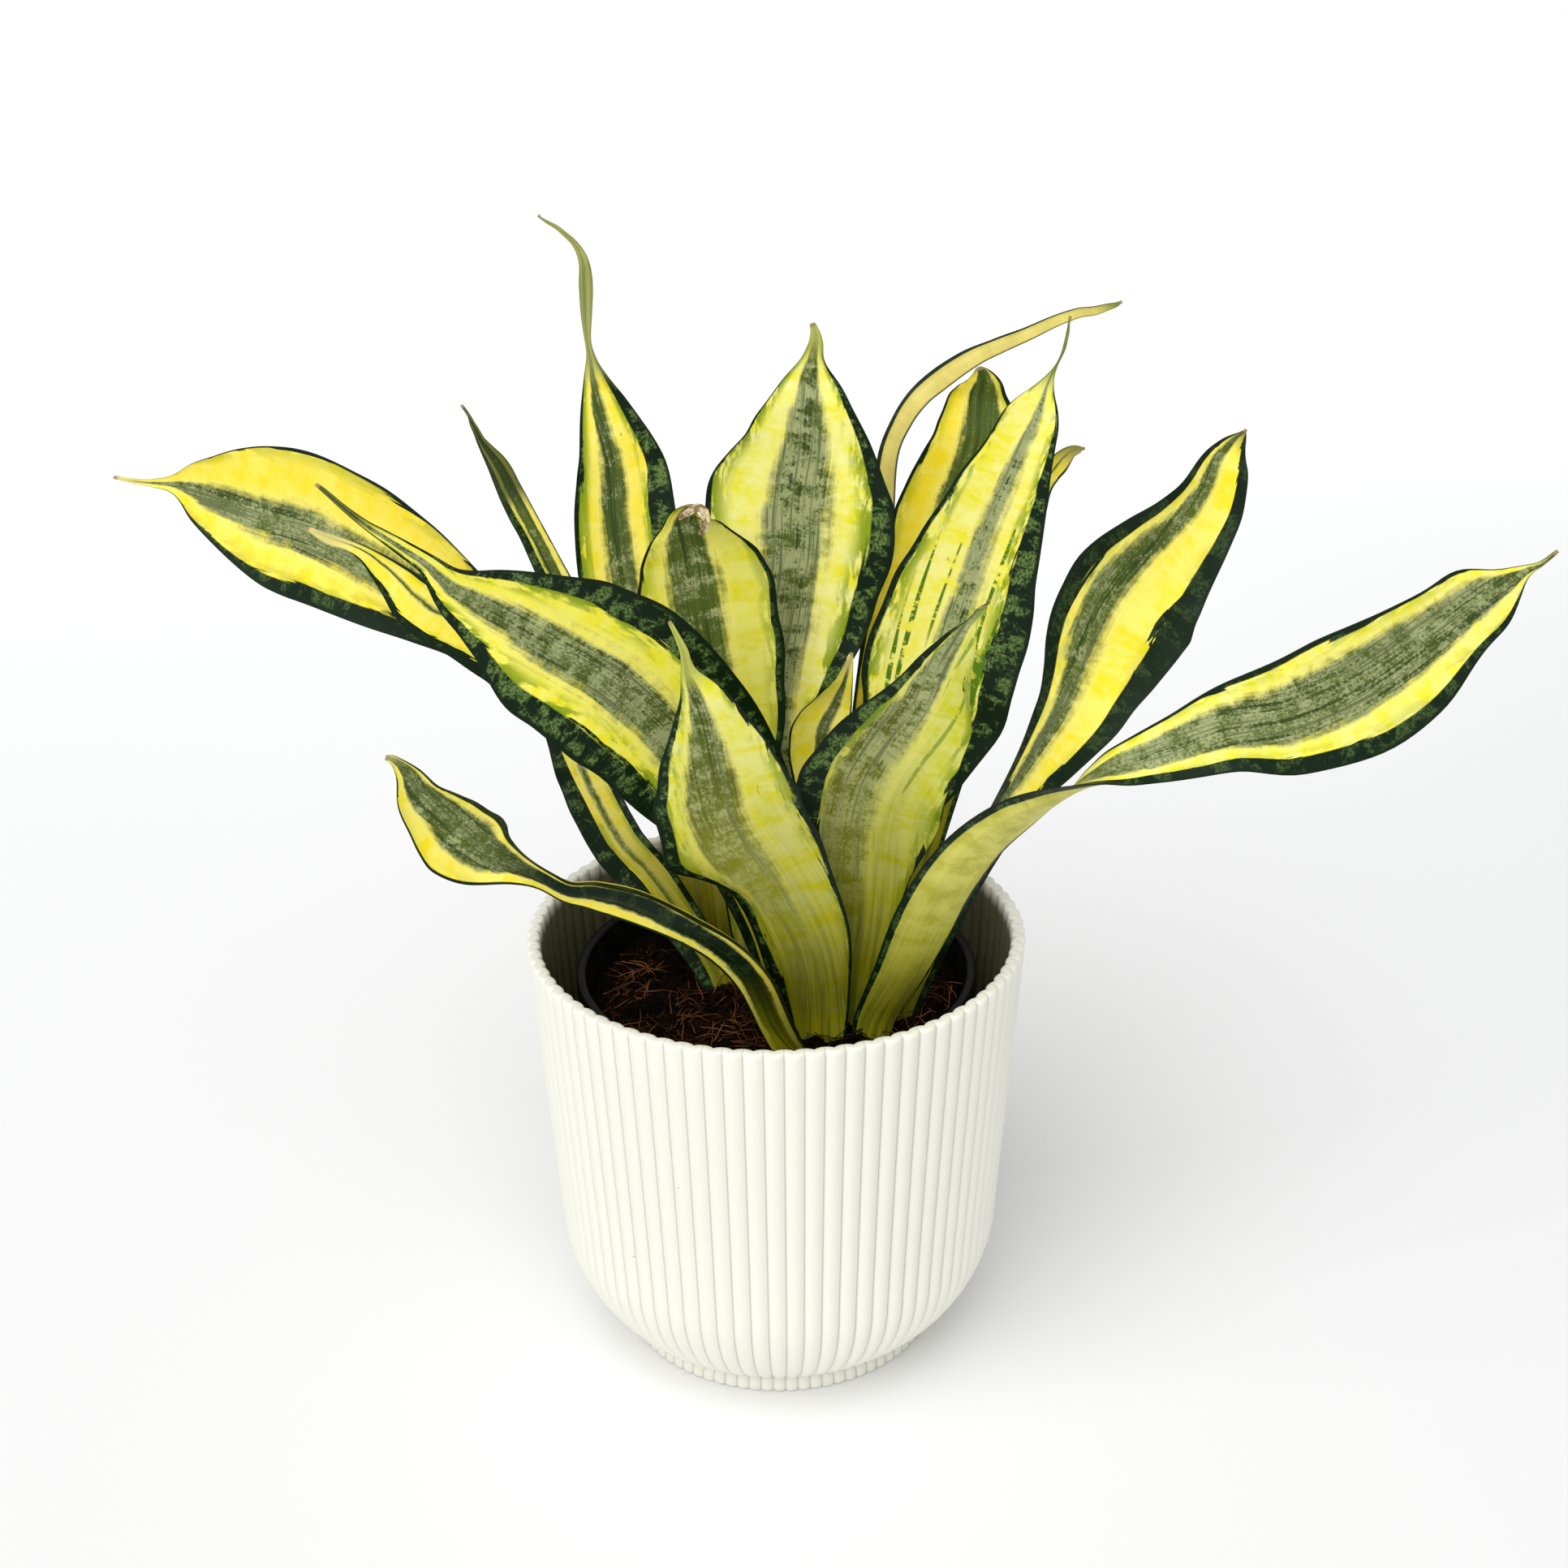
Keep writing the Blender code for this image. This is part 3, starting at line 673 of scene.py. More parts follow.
LEAF_LOOKS = {
    "leaf_far_left": leaf_look(
        (0.14, 0.31, 0.60, 0.98), CREAM_TAIL, ragged=0.035, warmth=0.75, silver_shade=0.62, mottle=0.35,
        tail_start=0.95, cross=0.05, tip_thin=0.7,
    ),
    "leaf_left_under": leaf_look(
        (0.16, 0.50, 0.60, 0.84), CREAM_TAIL, flares=((-1, 0.92, 0.06, -0.9), (1, 0.92, 0.06, -0.9)),
        ragged=0.08, warmth=0.5, silver_shade=0.4, mottle=0.2, tail_start=0.92,
    ),
    "leaf_left_broad": leaf_look(
        (0.16, 0.31, 0.60, 0.82), DARK_TAIL, ragged=0.03, warmth=0.1, cream=0.3, silver_shade=0.62,
        mottle=1.0, tail_start=0.90, cross=0.55,
    ),
    "leaf_back_left_narrow": leaf_look(
        (0.26, 0.30, 0.70, 0.93), DARK_TAIL, warmth=0.4, silver_shade=0.35, mottle=0.5, tail_start=0.80,
    ),
    "leaf_back_left_tall": leaf_look(
        (0.05, 0.27, 0.52, 0.77), rgba(0.26, 0.29, 0.10), warmth=0.6, silver_shade=0.45, mottle=1.0,
        tail_start=0.76, cross=0.5,
    ),
    "leaf_centre_tall": leaf_look(
        (0.03, 0.32, 0.66, 0.87), rgba(0.40, 0.42, 0.09),
        flares=((-1, 0.945, 0.025, -1.6), (1, 0.945, 0.025, -1.6)),
        ragged=0.02, warmth=0.0, cream=1.0, silver_shade=0.72, mottle=1.0, tail_start=0.93, cross=1.0,
    ),
    "leaf_centre_dried_tip": leaf_look(
        (0.045, 0.20, 0.58, 0.93), rgba(0.16, 0.15, 0.05),
        flares=((1, 0.97, 0.07, -5.0), (1, 0.80, 0.10, -1.0)),
        ragged=0.02, warmth=0.2, green=0.35, silver_shade=0.45, mottle=0.5, tail_start=0.97, cross=0.8,
    ),
    "leaf_back_right_arching": leaf_look(
        (0.20, 0.40, 0.60, 0.88), turned=True, flares=((-1, 0.55, 0.3, -0.7), (1, 0.55, 0.3, -0.7)),
        warmth=0.6, silver_shade=0.6, mottle=0.1, wash=0.97, tail_start=0.95,
    ),
    "leaf_back_right_wide": leaf_look(
        (0.03, 0.34, 0.82, 0.92), DARK_TAIL, ragged=0.02, warmth=0.8, silver_shade=0.30, mottle=0.4,
        tail_start=0.975, cross=0.15, tip_thin=0.0,
    ),
    "leaf_right_tall": leaf_look(
        (0.05, 0.44, 0.62, 0.80),
        flares=(
            (-1, 0.865, 0.04, 3.0), (1, 0.87, 0.04, 1.8), (-1, 0.935, 0.02, -0.5), (1, 0.935, 0.02, -0.5),
        ),
        ragged=0.03, warmth=0.1, cream=0.9, silver_shade=0.80, mottle=1.0, streaks=1.0, tail_start=0.885,
        cross=0.6, tip_thin=0.75,
    ),
    "leaf_back_right_small": leaf_look(
        (0.14, 0.45, 0.55, 0.86), rgba(0.30, 0.27, 0.08), warmth=0.6, silver_shade=0.5, olive_reach=1.4,
    ),
    "leaf_right": leaf_look(
        (0.13, 0.22, 0.46, 0.80), DARK_TAIL, ragged=0.09, warmth=0.5, silver_shade=0.5, mottle=0.2,
        tail_start=0.96, cross=0.1, tip_thin=0.1,
    ),
    "leaf_far_right": leaf_look(
        (0.17, 0.32, 0.80, 0.95), DARK_TAIL, turned=True,
        flares=((1, 0.915, 0.028, 3.2), (-1, 0.92, 0.028, 2.0), (-1, 0.68, 0.09, -2.4)),
        ragged=0.03, warmth=0.12, silver_shade=0.62, mottle=0.35, wash=0.9, tail_start=0.955, cross=0.1,
    ),
    "leaf_front_right": leaf_look(
        (0.16, 0.20, 0.58, 1.0), flares=((1, 0.86, 0.06, 2.2),), rolls=((1, 0.87, 0.065, 2.9),),
        ragged=0.04, warmth=0.0, cream=1.0, green=0.6, silver_shade=0.72, mottle=1.0, streaks=0.7,
        olive_reach=1.0, tail_start=0.95, cross=0.6, tip_thin=0.1,
    ),
    "leaf_front": leaf_look(
        (0.10, 0.22, 0.58, 0.96), rgba(0.40, 0.43, 0.08), rolls=((-1, 0.40, 0.10, -0.9),),
        flares=((-1, 0.545, 0.035, 3.2), (-1, 0.58, 0.12, 1.6), (-1, 0.41, 0.07, -3.6)),
        ragged=0.05, warmth=0.0, cream=0.9, green=0.22, silver_shade=0.62, silver_start=0.72, mottle=0.8,
        olive_reach=0.97, tail_start=0.86, cross=0.5,
    ),
    "leaf_front_left_folded": leaf_look(
        (0.04, 0.17, 0.72, 0.84), CREAM_TAIL, ridges=((0, 0.5, 0.35, 2.5),), ragged=0.05, warmth=0.6,
        silver_shade=0.5, silver_start=0.04, mottle=0.15, slant=0.15, dark_fold=1.0, olive_reach=0.30,
        tail_start=0.97, cross=0.2,
    ),
    "leaf_centre_small": leaf_look(
        (0.05, 0.42, 0.66, 0.93), CREAM_TAIL, warmth=0.4, silver_shade=0.5, mottle=0.2, olive_reach=0.6,
    ),
    "leaf_left_low": leaf_look(
        (0.30, 0.44, 0.56, 0.84), DARK_TAIL, warmth=0.5, silver_shade=0.5, mottle=0.6, olive_reach=0.8,
    ),
}


def add_leaves():
    group = variegation_group()
    for seed, (name, look) in enumerate(LEAF_LOOKS.items(), start=FIRST_SEED):
        add_leaf(frame["nodes"][name], look, seed, leaf_finish(name, look, seed, group))


# ---------------------------------------------------------------- dried tip

def ribbon(name, path, half_width, half_depth, surface):
    """A flat closed strip along a path, widest in its middle, with its width turning along it."""
    rows = curve_through(np.array(path), 5)
    sides = 10
    points = []
    for row, centre in enumerate(rows):
        share = row / (len(rows) - 1)
        ahead = unit(rows[min(row + 1, len(rows) - 1)] - rows[max(row - 1, 0)])
        across = unit(np.cross(ahead, (0.25, -1.0, 0.5)))
        up = np.cross(across, ahead)
        swell = max(sin(pi * (0.08 + 0.87 * share)) ** 0.6, 0.12)
        for side in range(sides):
            angle = side * tau / sides
            curl = 0.5 * half_width * cos(angle) ** 2 * swell
            level = half_depth * sin(angle) + curl
            points.append(centre + across * half_width * swell * cos(angle) + up * level)
    return add_piece(name, capped(points, sides), tube_faces(len(rows), sides), surface)


def dry_finish():
    made, shader = new_material("dried_papery_tip")
    place = object_place(shader)
    spots = rise(noise(place, 420.0, 4.0, 0.6), 0.44, 0.62)
    colour = mixed(spots, rgba(0.72, 0.61, 0.36), rgba(0.20, 0.12, 0.05))
    fill(shader, {"Base Color": colour, "Roughness": 0.6})
    add_bump(shader, noise(place, 900.0, 3.0), 0.5, 0.3 * MM)
    return made


def add_dried_tip():
    """A papery curl that hooks forward over the blunt end of the dried leaf."""
    end = leaf_stations(frame["nodes"]["leaf_centre_dried_tip"])[-1][0:3]
    hook = (
        (-4.6, -0.9, -2.4), (-2.2, -1.2, -0.9), (0.4, -1.4, 0.5), (2.2, -2.0, -0.4), (2.6, -3.0, -2.8),
        (2.2, -3.2, -5.0), (1.0, -2.2, -6.4),
    )
    path = [end + np.array(offset) * MM for offset in hook]
    finish_piece(ribbon("dried_tip_curl", path, 1.25 * MM, 0.22 * MM, dry_finish()), "leaf")


# ---------------------------------------------------------------- cover pot

def belly_curve(outer, inner, steps):
    """Points of a belly after outer, where it is upright, up to inner, at its foot."""
    (start_radius, start_z), (end_radius, end_z) = outer, inner
    angles = [step * pi / 2 / steps for step in range(1, steps + 1)]
    return [
        (
            end_radius + (start_radius - end_radius) * max(cos(angle), 0.0) ** BELLY_SQUARENESS,
            start_z + (end_z - start_z) * sin(angle),
        )
        for angle in angles
    ]

def foot_rows():
    """The foot ring's rows of (radius, z, outer rib share, inner rib share)."""
    return [
        (FOOT_RADIUS * 0.6, 0.0, 0.0, 0.0),
        (FOOT_RADIUS - 1.4 * MM, 0.0, 0.0, 0.0),
        (FOOT_RADIUS - 0.4 * MM, 0.2 * MM, 0.5, 0.0),
        (FOOT_RADIUS, 0.9 * MM, 0.8, 0.0),
        (FOOT_RADIUS - 0.1 * MM, FOOT_HEIGHT - 1.4 * MM, 0.8, 0.0),
        (FOOT_RADIUS - 0.7 * MM, FOOT_HEIGHT - 0.3 * MM, 0.8, 0.0),
    ]


def cover_pot_profile():
    """Rows of (radius, z, outer rib share, inner rib share) from under the pot to its inner floor."""
    rim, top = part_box("cover_pot")[1].x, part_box("cover_pot")[1].z

    def radius_at(height):
        return rim - POT_DRAFT * (top - height)

    belly = radius_at(BELLY_HEIGHT), BELLY_HEIGHT
    waist = FOOT_WAIST, FOOT_HEIGHT + 0.9 * MM
    rows = foot_rows()
    rows += [(radius, height, 1.0, 0.0) for radius, height in belly_curve(belly, waist, 16)[::-1]]
    heights = np.linspace(BELLY_HEIGHT, top - POT_EDGE, 8)
    rows += [(radius_at(height), height, 1.0, 0.0) for height in heights]
    for turn in (radians(30), radians(60), radians(90)):
        rows.append((rim - 0.8 * MM * (1 - cos(turn)), top - POT_EDGE * (1 - sin(turn)), 1.0, 0.0))
    inner = rim - POT_WALL
    rows += [(inner + 0.9 * MM, top, 0.0, 0.9), (inner + 0.3 * MM, top - 0.25 * MM, 0.0, 1.0)]
    heights = np.linspace(top - 0.7 * MM, BELLY_HEIGHT, 8)
    rows += [(radius_at(height) - POT_WALL, height, 0.0, 1.0) for height in heights]
    inner_belly = belly[0] - POT_WALL, BELLY_HEIGHT
    inner_floor = FOOT_WAIST - POT_WALL, POT_FLOOR
    curve = belly_curve(inner_belly, inner_floor, 8)
    rows += [(radius, height, 0.0, 1.0 - 0.1 * step) for step, (radius, height) in enumerate(curve)]
    return [*rows, (FOOT_RADIUS * 0.5, POT_FLOOR, 0.0, 0.0)]


def rib_fall(share):
    """How far a rib has fallen from its crest (0) to the groove (1)."""
    return 0.5 * share**2 + 0.5 * (1 - (1 - (0.985 * share) ** 2) ** 0.5)


def rib_segment(surface):
    """One rib's share of the pot's wall, floor and foot, as an open strip."""
    rows = cover_pot_profile()
    points = []
    for radius, height, outer, inner in rows:
        for column in range(RIB_COLUMNS + 1):
            share = sin(pi / 2 * (2 * column / RIB_COLUMNS - 1))
            crest = rib_fall(share)
            bead = rib_fall(1 - abs(share))
            reach = radius - outer * RIB_DEPTH * crest + inner * INNER_RIB_DEPTH * (bead - 0.5)
            angle = RIB_PHASE + share * pi / RIB_COUNT
            points.append((reach * cos(angle), reach * sin(angle), height))
    width = RIB_COLUMNS + 1
    corners = [row * width + column for row in range(len(rows) - 1) for column in range(RIB_COLUMNS)]
    faces = [(corner, corner + 1, corner + width + 1, corner + width) for corner in corners]
    under, floor = len(points), len(points) + 1
    points += [(0.0, 0.0, rows[0][1]), (0.0, 0.0, rows[-1][1])]
    last = (len(rows) - 1) * width
    for column in range(RIB_COLUMNS):
        faces.append((under, column + 1, column))
        faces.append((floor, last + column, last + column + 1))
    return add_piece("cover_pot_shell", points, faces, surface)


def around_axis_tree(name, surface):
    """Copies of a segment turned about Z and welded into one shell."""
    tree = bpy.data.node_groups.new(name, "GeometryNodeTree")
    add_sockets(tree, "INPUT", {"Segment": "Geometry", "Count": "Int", "Weld Distance": "Float"})
    add_sockets(tree, "OUTPUT", {"Shell": "Geometry"})
    given = inputs_of(tree)
    places = add_node(tree, "GeometryNodeMeshLine", {"Count": given["Count"], "Offset": (0, 0, 0)})
    step = calc("DIVIDE", tau, given["Count"])
    number = Output(add_node(tree, "GeometryNodeInputIndex"))
    turn = add_node(tree, "ShaderNodeCombineXYZ", {2: number * step})
    copies = add_node(tree, "GeometryNodeInstanceOnPoints", {
        "Points": Output(places), "Instance": given["Segment"], "Rotation": Output(turn),
    })
    real = add_node(tree, "GeometryNodeRealizeInstances", {0: Output(copies)})
    weld = {"Geometry": Output(real), "Distance": given["Weld Distance"]}
    shell = add_node(tree, "GeometryNodeMergeByDistance", weld)
    add_coated_output(shell, surface)
    return tree


def add_coated_output(bare, surface):
    """Ends a tree with the material on its shapes."""
    coat = {"Geometry": Output(bare), "Material": surface}
    coated = add_node(bare.id_data, "GeometryNodeSetMaterial", coat)
    add_node(bare.id_data, "NodeGroupOutput", {0: Output(coated)})


def set_inputs(modifier, **values):
    """Sets a Geometry Nodes modifier's inputs by their names, with spaces for underscores."""
    for item in modifier.node_group.interface.items_tree:
        key = item.name.replace(" ", "_")
        if item.item_type == "SOCKET" and item.in_out == "INPUT" and key in values:
            modifier[item.identifier] = values[key]


def add_cover_pot():
    surface = cream_plastic()
    pot = rib_segment(surface)
    ribs = pot.modifiers.new("ribs", "NODES")
    ribs.node_group = around_axis_tree("ribs_around_pot", surface)
    set_inputs(ribs, Count=RIB_COUNT, Weld_Distance=0.01 * MM)
    made_plain(pot)
    finish_piece(pot, "cover_pot", "cover_pot")

def painted_inner_shade(x, y, z):
    """Painted shade: 1 on the wall's inner side, from a little under the rim to a little over the belly."""
    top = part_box("cover_pot")[1]
    depth = top.z - z
    reach = calc("SQRT", x * x + y * y)
    inside = rise(top.x - depth * POT_DRAFT - reach, 2.2 * MM, 3.0 * MM)
    inside = inside * rise(depth, 0.0, 5 * MM)
    return inside * rise(z, BELLY_HEIGHT + 10 * MM, BELLY_HEIGHT + 25 * MM)


def painted_groove_shade(x, y):
    """1 at the bottom of the grooves between the ribs, where shade is painted."""
    ribs = (calc("ARCTAN2", y, x) - RIB_PHASE) * (RIB_COUNT / tau)
    return rise(calc("PINGPONG", ribs, 0.5), 0.43, 0.495)


def dirt_specks(place):
    """1 on a few small spots."""
    cells = add_node(place.tree, "ShaderNodeTexVoronoi", {"Vector": place, "Scale": 150.0}, feature="F1")
    chance = Output(add_node(place.tree, "ShaderNodeSeparateColor", {0: Output(cells, "Color")}))
    return rise(chance, 0.972, 0.975) * (1.0 - rise(Output(cells, "Distance"), 0.03, 0.06))


def cream_plastic():
    """Cream, with painted shade in its grooves and dark painted shade inside."""
    made, shader = new_material("cream_ribbed_plastic")
    place = object_place(shader)
    x, y, z = parts_of(place)
    colour = mixed(noise(place, 14.0, 3.0), rgba(0.82, 0.81, 0.72), rgba(0.855, 0.845, 0.76))
    colour = mixed(dirt_specks(place) * 0.6, colour, rgba(0.25, 0.20, 0.12))
    # Painted shade: the bottoms of the grooves between the ribs are darkened.
    colour = mixed(painted_groove_shade(x, y) * 0.5, colour, rgba(0.50, 0.49, 0.40))
    # Painted shade: the inner wall is darkened to dark olive, standing in for the shade inside the pot.
    colour = mixed(painted_inner_shade(x, y, z), colour, rgba(0.12, 0.115, 0.062))
    fill(shader, {
        "Base Color": colour, "Roughness": 0.36 + noise(place, 40.0, 4.0) * 0.12,
        "Specular IOR Level": 0.45, "Subsurface Weight": 0.1, "Subsurface Radius": (1.0, 0.9, 0.6),
        "Subsurface Scale": 0.002,
    })
    add_bump(shader, noise(place, 900.0, 2.0), 0.12, 0.1 * MM)
    return made


# ---------------------------------------------------------------- nursery pot

def turned(name, profile, sides, surface):
    """A solid turned about Z from rows of (radius, z), closed at the axis at both ends."""
    rings = [point for radius, height in profile for point in circle(radius, height, sides)]
    points = [(0.0, 0.0, profile[0][1]), *rings, (0.0, 0.0, profile[-1][1])]
    return add_piece(name, points, tube_faces(len(profile), sides), surface)


def nursery_profile():
    """Rows of (radius, z) from under the pot, up its outside, over its lip and down to its floor."""
    low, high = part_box("nursery_pot")
    base, top, rim = low.z, high.z, high.x
    wall_top = rim - LIP_REACH + NURSERY_WALL
    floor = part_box("coir")[0].z - 0.4 * MM
    foot = wall_top - NURSERY_TAPER
    inner_foot = foot - NURSERY_WALL
    inner_top = wall_top - NURSERY_WALL
    under_lip = top - LIP_DEPTH
    bead = 0.6 * MM
    return [
        (foot * 0.5, base), (foot - 2.2 * MM, base), (foot - 0.6 * MM, base + 0.6 * MM),
        (foot, base + 2.2 * MM), (wall_top - 0.4 * MM, under_lip - 0.6 * MM), (wall_top, under_lip),
        (rim - 0.4 * MM, under_lip), (rim, under_lip + 0.4 * MM), (rim, top - bead),
        (rim - 0.3 * bead, top - 0.3 * bead), (rim - bead, top),
        (inner_top + 0.8 * MM, top), (inner_top + 0.2 * MM, top - 0.3 * MM), (inner_top, top - 1.0 * MM),
        (inner_foot, floor + 1.0 * MM), (inner_foot - 1.0 * MM, floor), (foot * 0.5, floor),
    ]


def black_plastic():
    made, shader = new_material("thin_black_plastic")
    place = object_place(shader)
    dust = rise(noise(place, 160.0, 5.0, 0.7), 0.52, 0.72)
    colour = mixed(dust * 0.35, rgba(0.003, 0.003, 0.003), rgba(0.016, 0.012, 0.009))
    fill(shader, {"Base Color": colour, "Roughness": 0.42 + dust * 0.35, "Specular IOR Level": 0.12})
    add_bump(shader, noise(place, 700.0, 2.0), 0.15, 0.1 * MM)
    return made


def drain_cutters():
    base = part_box("nursery_pot")[0].z
    rows = [(DRAIN_RADIUS, base - 5 * MM), (DRAIN_RADIUS, base + 7 * MM)]
    cutters = []
    for index in range(DRAIN_HOLES):
        angle = DRAIN_PHASE + index * tau / DRAIN_HOLES
        cutter = turned(f"drain_cutter_{index}", rows, 24, None)
        away = (DRAIN_RING * cos(angle), DRAIN_RING * sin(angle), 0)
        cutter.data.transform(Matrix.Translation(away))
        cutters.append(cutter)
    return cutters


def add_nursery_pot():
    pot = turned("nursery_pot_shell", nursery_profile(), NURSERY_SIDES, black_plastic())
    pot.data.set_sharp_from_angle(angle=radians(50))
    cutters = drain_cutters()
    for cutter in cutters:
        hole = pot.modifiers.new(cutter.name, "BOOLEAN")
        hole.operation = "DIFFERENCE"
        hole.solver = "EXACT"
        hole.object = cutter
    made_plain(pot)
    for cutter in cutters:
        bpy.data.objects.remove(cutter)
    finish_piece(pot, "nursery_pot", "nursery_pot")


# ---------------------------------------------------------------- coir

def coir_waves():
    """Waves (size, a, b, phase) that make the coir's lumps together."""
    rng = np.random.default_rng(5)
    waves = []
    for _ in range(COIR_WAVES):
        pitch = rng.uniform(180, 1500)
        heading = rng.uniform(0, tau)
        size = 0.34 * MM * (300 / pitch) ** 0.55
        waves.append((size, pitch * cos(heading), pitch * sin(heading), rng.uniform(0, tau)))
    return waves


def coir_points(low, high):
    """The middle of the mound, rings out to the wall, two rings under it and the middle of the floor."""
    waves = coir_waves()

    def lump(x, y):
        return sum(size * sin(a * x + b * y + phase) for size, a, b, phase in waves)

    points = [(0.0, 0.0, high.z + lump(0, 0))]
    for ring in range(1, COIR_RINGS + 1):
        fall = 1.5 * MM * (ring / COIR_RINGS) ** 2
        for x, y, level in circle(high.x * ring / COIR_RINGS, high.z - fall, COIR_SIDES):
            points.append((x, y, level + lump(x, y)))
    foot = high.x - COIR_TAPER
    points += circle(foot, low.z, COIR_SIDES) + circle(foot * 0.5, low.z, COIR_SIDES)
    return [*points, (0.0, 0.0, low.z)]


def add_coir():
    """A lumpy mound on a tapered plug."""
    points = coir_points(*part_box("coir"))
    upright = tube_faces(COIR_RINGS + 2, COIR_SIDES)
    faces = [(face[0], *face[:0:-1]) for face in upright]  # turned over, because this one goes down
    coir = add_piece("coir_body", points, faces, coir_finish())
    finish_piece(coir, "coir", "coir")
    add_loose_bits(coir, 1 + (COIR_RINGS - CLEAR_RINGS - 1) * COIR_SIDES)


def coir_finish():
    made, shader = new_material("damp_coir")
    place = object_place(shader)
    clumps = noise(place, 90.0, 6.0, 0.7)
    grain = noise(place, 620.0, 5.0, 0.75)
    colour = mixed(rise(clumps, 0.38, 0.66), rgba(0.0010, 0.0005, 0.0003), rgba(0.004, 0.0016, 0.0009))
    colour = mixed(rise(grain, 0.55, 0.72), colour, rgba(0.012, 0.0045, 0.002))
    fill(shader, {"Base Color": colour, "Roughness": 0.9, "Specular IOR Level": 0.05})
    add_bump(shader, clumps * 0.6 + grain * 0.5, 0.9, 1.2 * MM)
    return made


def fibre_finish(name, dark, light):
    made, shader = new_material(name)
    place = object_place(shader)
    colour = mixed(rise(noise(place, 70.0, 3.0), 0.35, 0.65), dark, light)
    fill(shader, {"Base Color": colour, "Roughness": 0.6, "Specular IOR Level": 0.06})
    add_bump(shader, noise(place, 1500.0, 2.0), 0.4, 0.1 * MM)
    return made


def fibre_shape(rng, length, radius, bend):
    """Points and faces of one curved, tapering fibre that lies along X."""
    steps, sides = 7, 3
    phase, sway = rng.uniform(0, tau), rng.uniform(-1, 1)
    points = []
    centres = []
    for step in range(steps):
        share = step / (steps - 1)
        centre = np.array((
            length * (share - 0.5),
            bend * sin(pi * share) + 0.3 * bend * sin(3 * pi * share + phase),
            0.35 * bend * sway * sin(2 * pi * share) + 0.5 * radius + 0.3 * MM,
        ))
        centres.append(centre)
        thick = radius * (1.0, 0.95, 0.9, 0.85, 0.75, 0.6, 0.35)[step]
        for side in range(sides):
            angle = side * tau / sides + 0.4
            points.append(centre + np.array((0, thick * cos(angle), thick * sin(angle))))
    points = [centres[0], *points, centres[-1]]
    return points, tube_faces(steps, sides)


def chip_shape(rng, size):
    """A small flat shard of bark."""
    shell = bmesh.new()
    bmesh.ops.create_icosphere(shell, subdivisions=1, radius=size)
    for vertex in shell.verts:
        vertex.co.x *= 1.5 * rng.uniform(0.8, 1.15)
        vertex.co.y *= 0.8 * rng.uniform(0.75, 1.2)
        vertex.co.z *= 0.32 * rng.uniform(0.6, 1.3)
    points = [tuple(vertex.co) for vertex in shell.verts]
    faces = [tuple(vertex.index for vertex in face.verts) for face in shell.faces]
    shell.free()
    return points, faces

def random_number(low, high, seed):
    """A random number for each point."""
    made = add_node(seed.tree, "FunctionNodeRandomValue", data_type="FLOAT")
    least, most = [index for index, socket in enumerate(made.inputs) if socket.enabled][:2]
    value = next(index for index, socket in enumerate(made.outputs) if socket.enabled)
    return Output(fill(made, {least: low, most: high, "Seed": seed}), value)


def scatter_tree(name, surface, shapes):
    """Shapes scattered over a surface, each turned about its normal and tilted a little."""
    tree = bpy.data.node_groups.new(name, "GeometryNodeTree")
    kinds = {"Ground": "Geometry", "Density": "Float", "Seed": "Int", "Tilt": "Float", "Least Size": "Float"}
    add_sockets(tree, "INPUT", kinds)
    add_sockets(tree, "OUTPUT", {"Bits": "Geometry"})
    given = inputs_of(tree)
    seed, tilt = given["Seed"], given["Tilt"]
    spread = add_node(tree, "GeometryNodeDistributePointsOnFaces", {
        "Mesh": given["Ground"], "Density": given["Density"], "Seed": seed,
    })
    source = add_node(tree, "GeometryNodeCollectionInfo", {
        "Collection": shapes, "Separate Children": True, "Reset Children": True,
    })
    lean = add_node(tree, "ShaderNodeCombineXYZ", {
        0: random_number(tilt * -1.0, tilt, seed + 1), 1: random_number(tilt * -1.0, tilt, seed + 2),
        2: random_number(0.0, tau, seed + 3),
    })
    turn = add_node(tree, "FunctionNodeRotateEuler", {
        "Rotation": Output(spread, "Rotation"), "Rotate By": Output(lean),
    }, rotation_type="EULER", space="LOCAL")
    copies = add_node(tree, "GeometryNodeInstanceOnPoints", {
        "Points": Output(spread, "Points"), "Instance": Output(source), "Pick Instance": True,
        "Rotation": Output(turn), "Scale": random_number(given["Least Size"], 1.0, seed + 4),
    })
    add_coated_output(add_node(tree, "GeometryNodeRealizeInstances", {0: Output(copies)}), surface)
    return tree


def scatter(name, ground, shapes, surface, **values):
    """A piece of bits scattered over the ground mesh. The shapes are removed afterwards."""
    holder = bpy.data.collections.new(f"{name}_shapes")
    for index, (points, faces) in enumerate(shapes):
        shape = add_piece(f"{name}_shape_{index}", points, faces, surface)
        bpy.context.scene.collection.objects.unlink(shape)
        holder.objects.link(shape)
    piece = place_in_scene(name, ground.copy())
    spread = piece.modifiers.new("scatter", "NODES")
    spread.node_group = scatter_tree(f"{name}_tree", surface, holder)
    set_inputs(spread, **values)
    made_plain(piece)
    piece.data.shade_smooth()
    finish_piece(piece, "coir")
    for shape in list(holder.objects):
        bpy.data.objects.remove(shape)
    bpy.data.collections.remove(holder)


def top_of(coir, first_away):
    """The coir's top as a mesh, without the points from first_away on."""
    ground = bmesh.new()
    ground.from_mesh(coir.data)
    ground.verts.ensure_lookup_table()
    away = [vertex for vertex in ground.verts if vertex.index >= first_away]
    bmesh.ops.delete(ground, geom=away, context="VERTS")
    mesh = bpy.data.meshes.new("coir_top")
    ground.to_mesh(mesh)
    ground.free()
    return mesh


def fibre_shapes(rng, count, radius, lengths, bends):
    return [
        fibre_shape(rng, rng.uniform(*lengths) * MM, radius, rng.uniform(*bends) * MM) for _ in range(count)
    ]


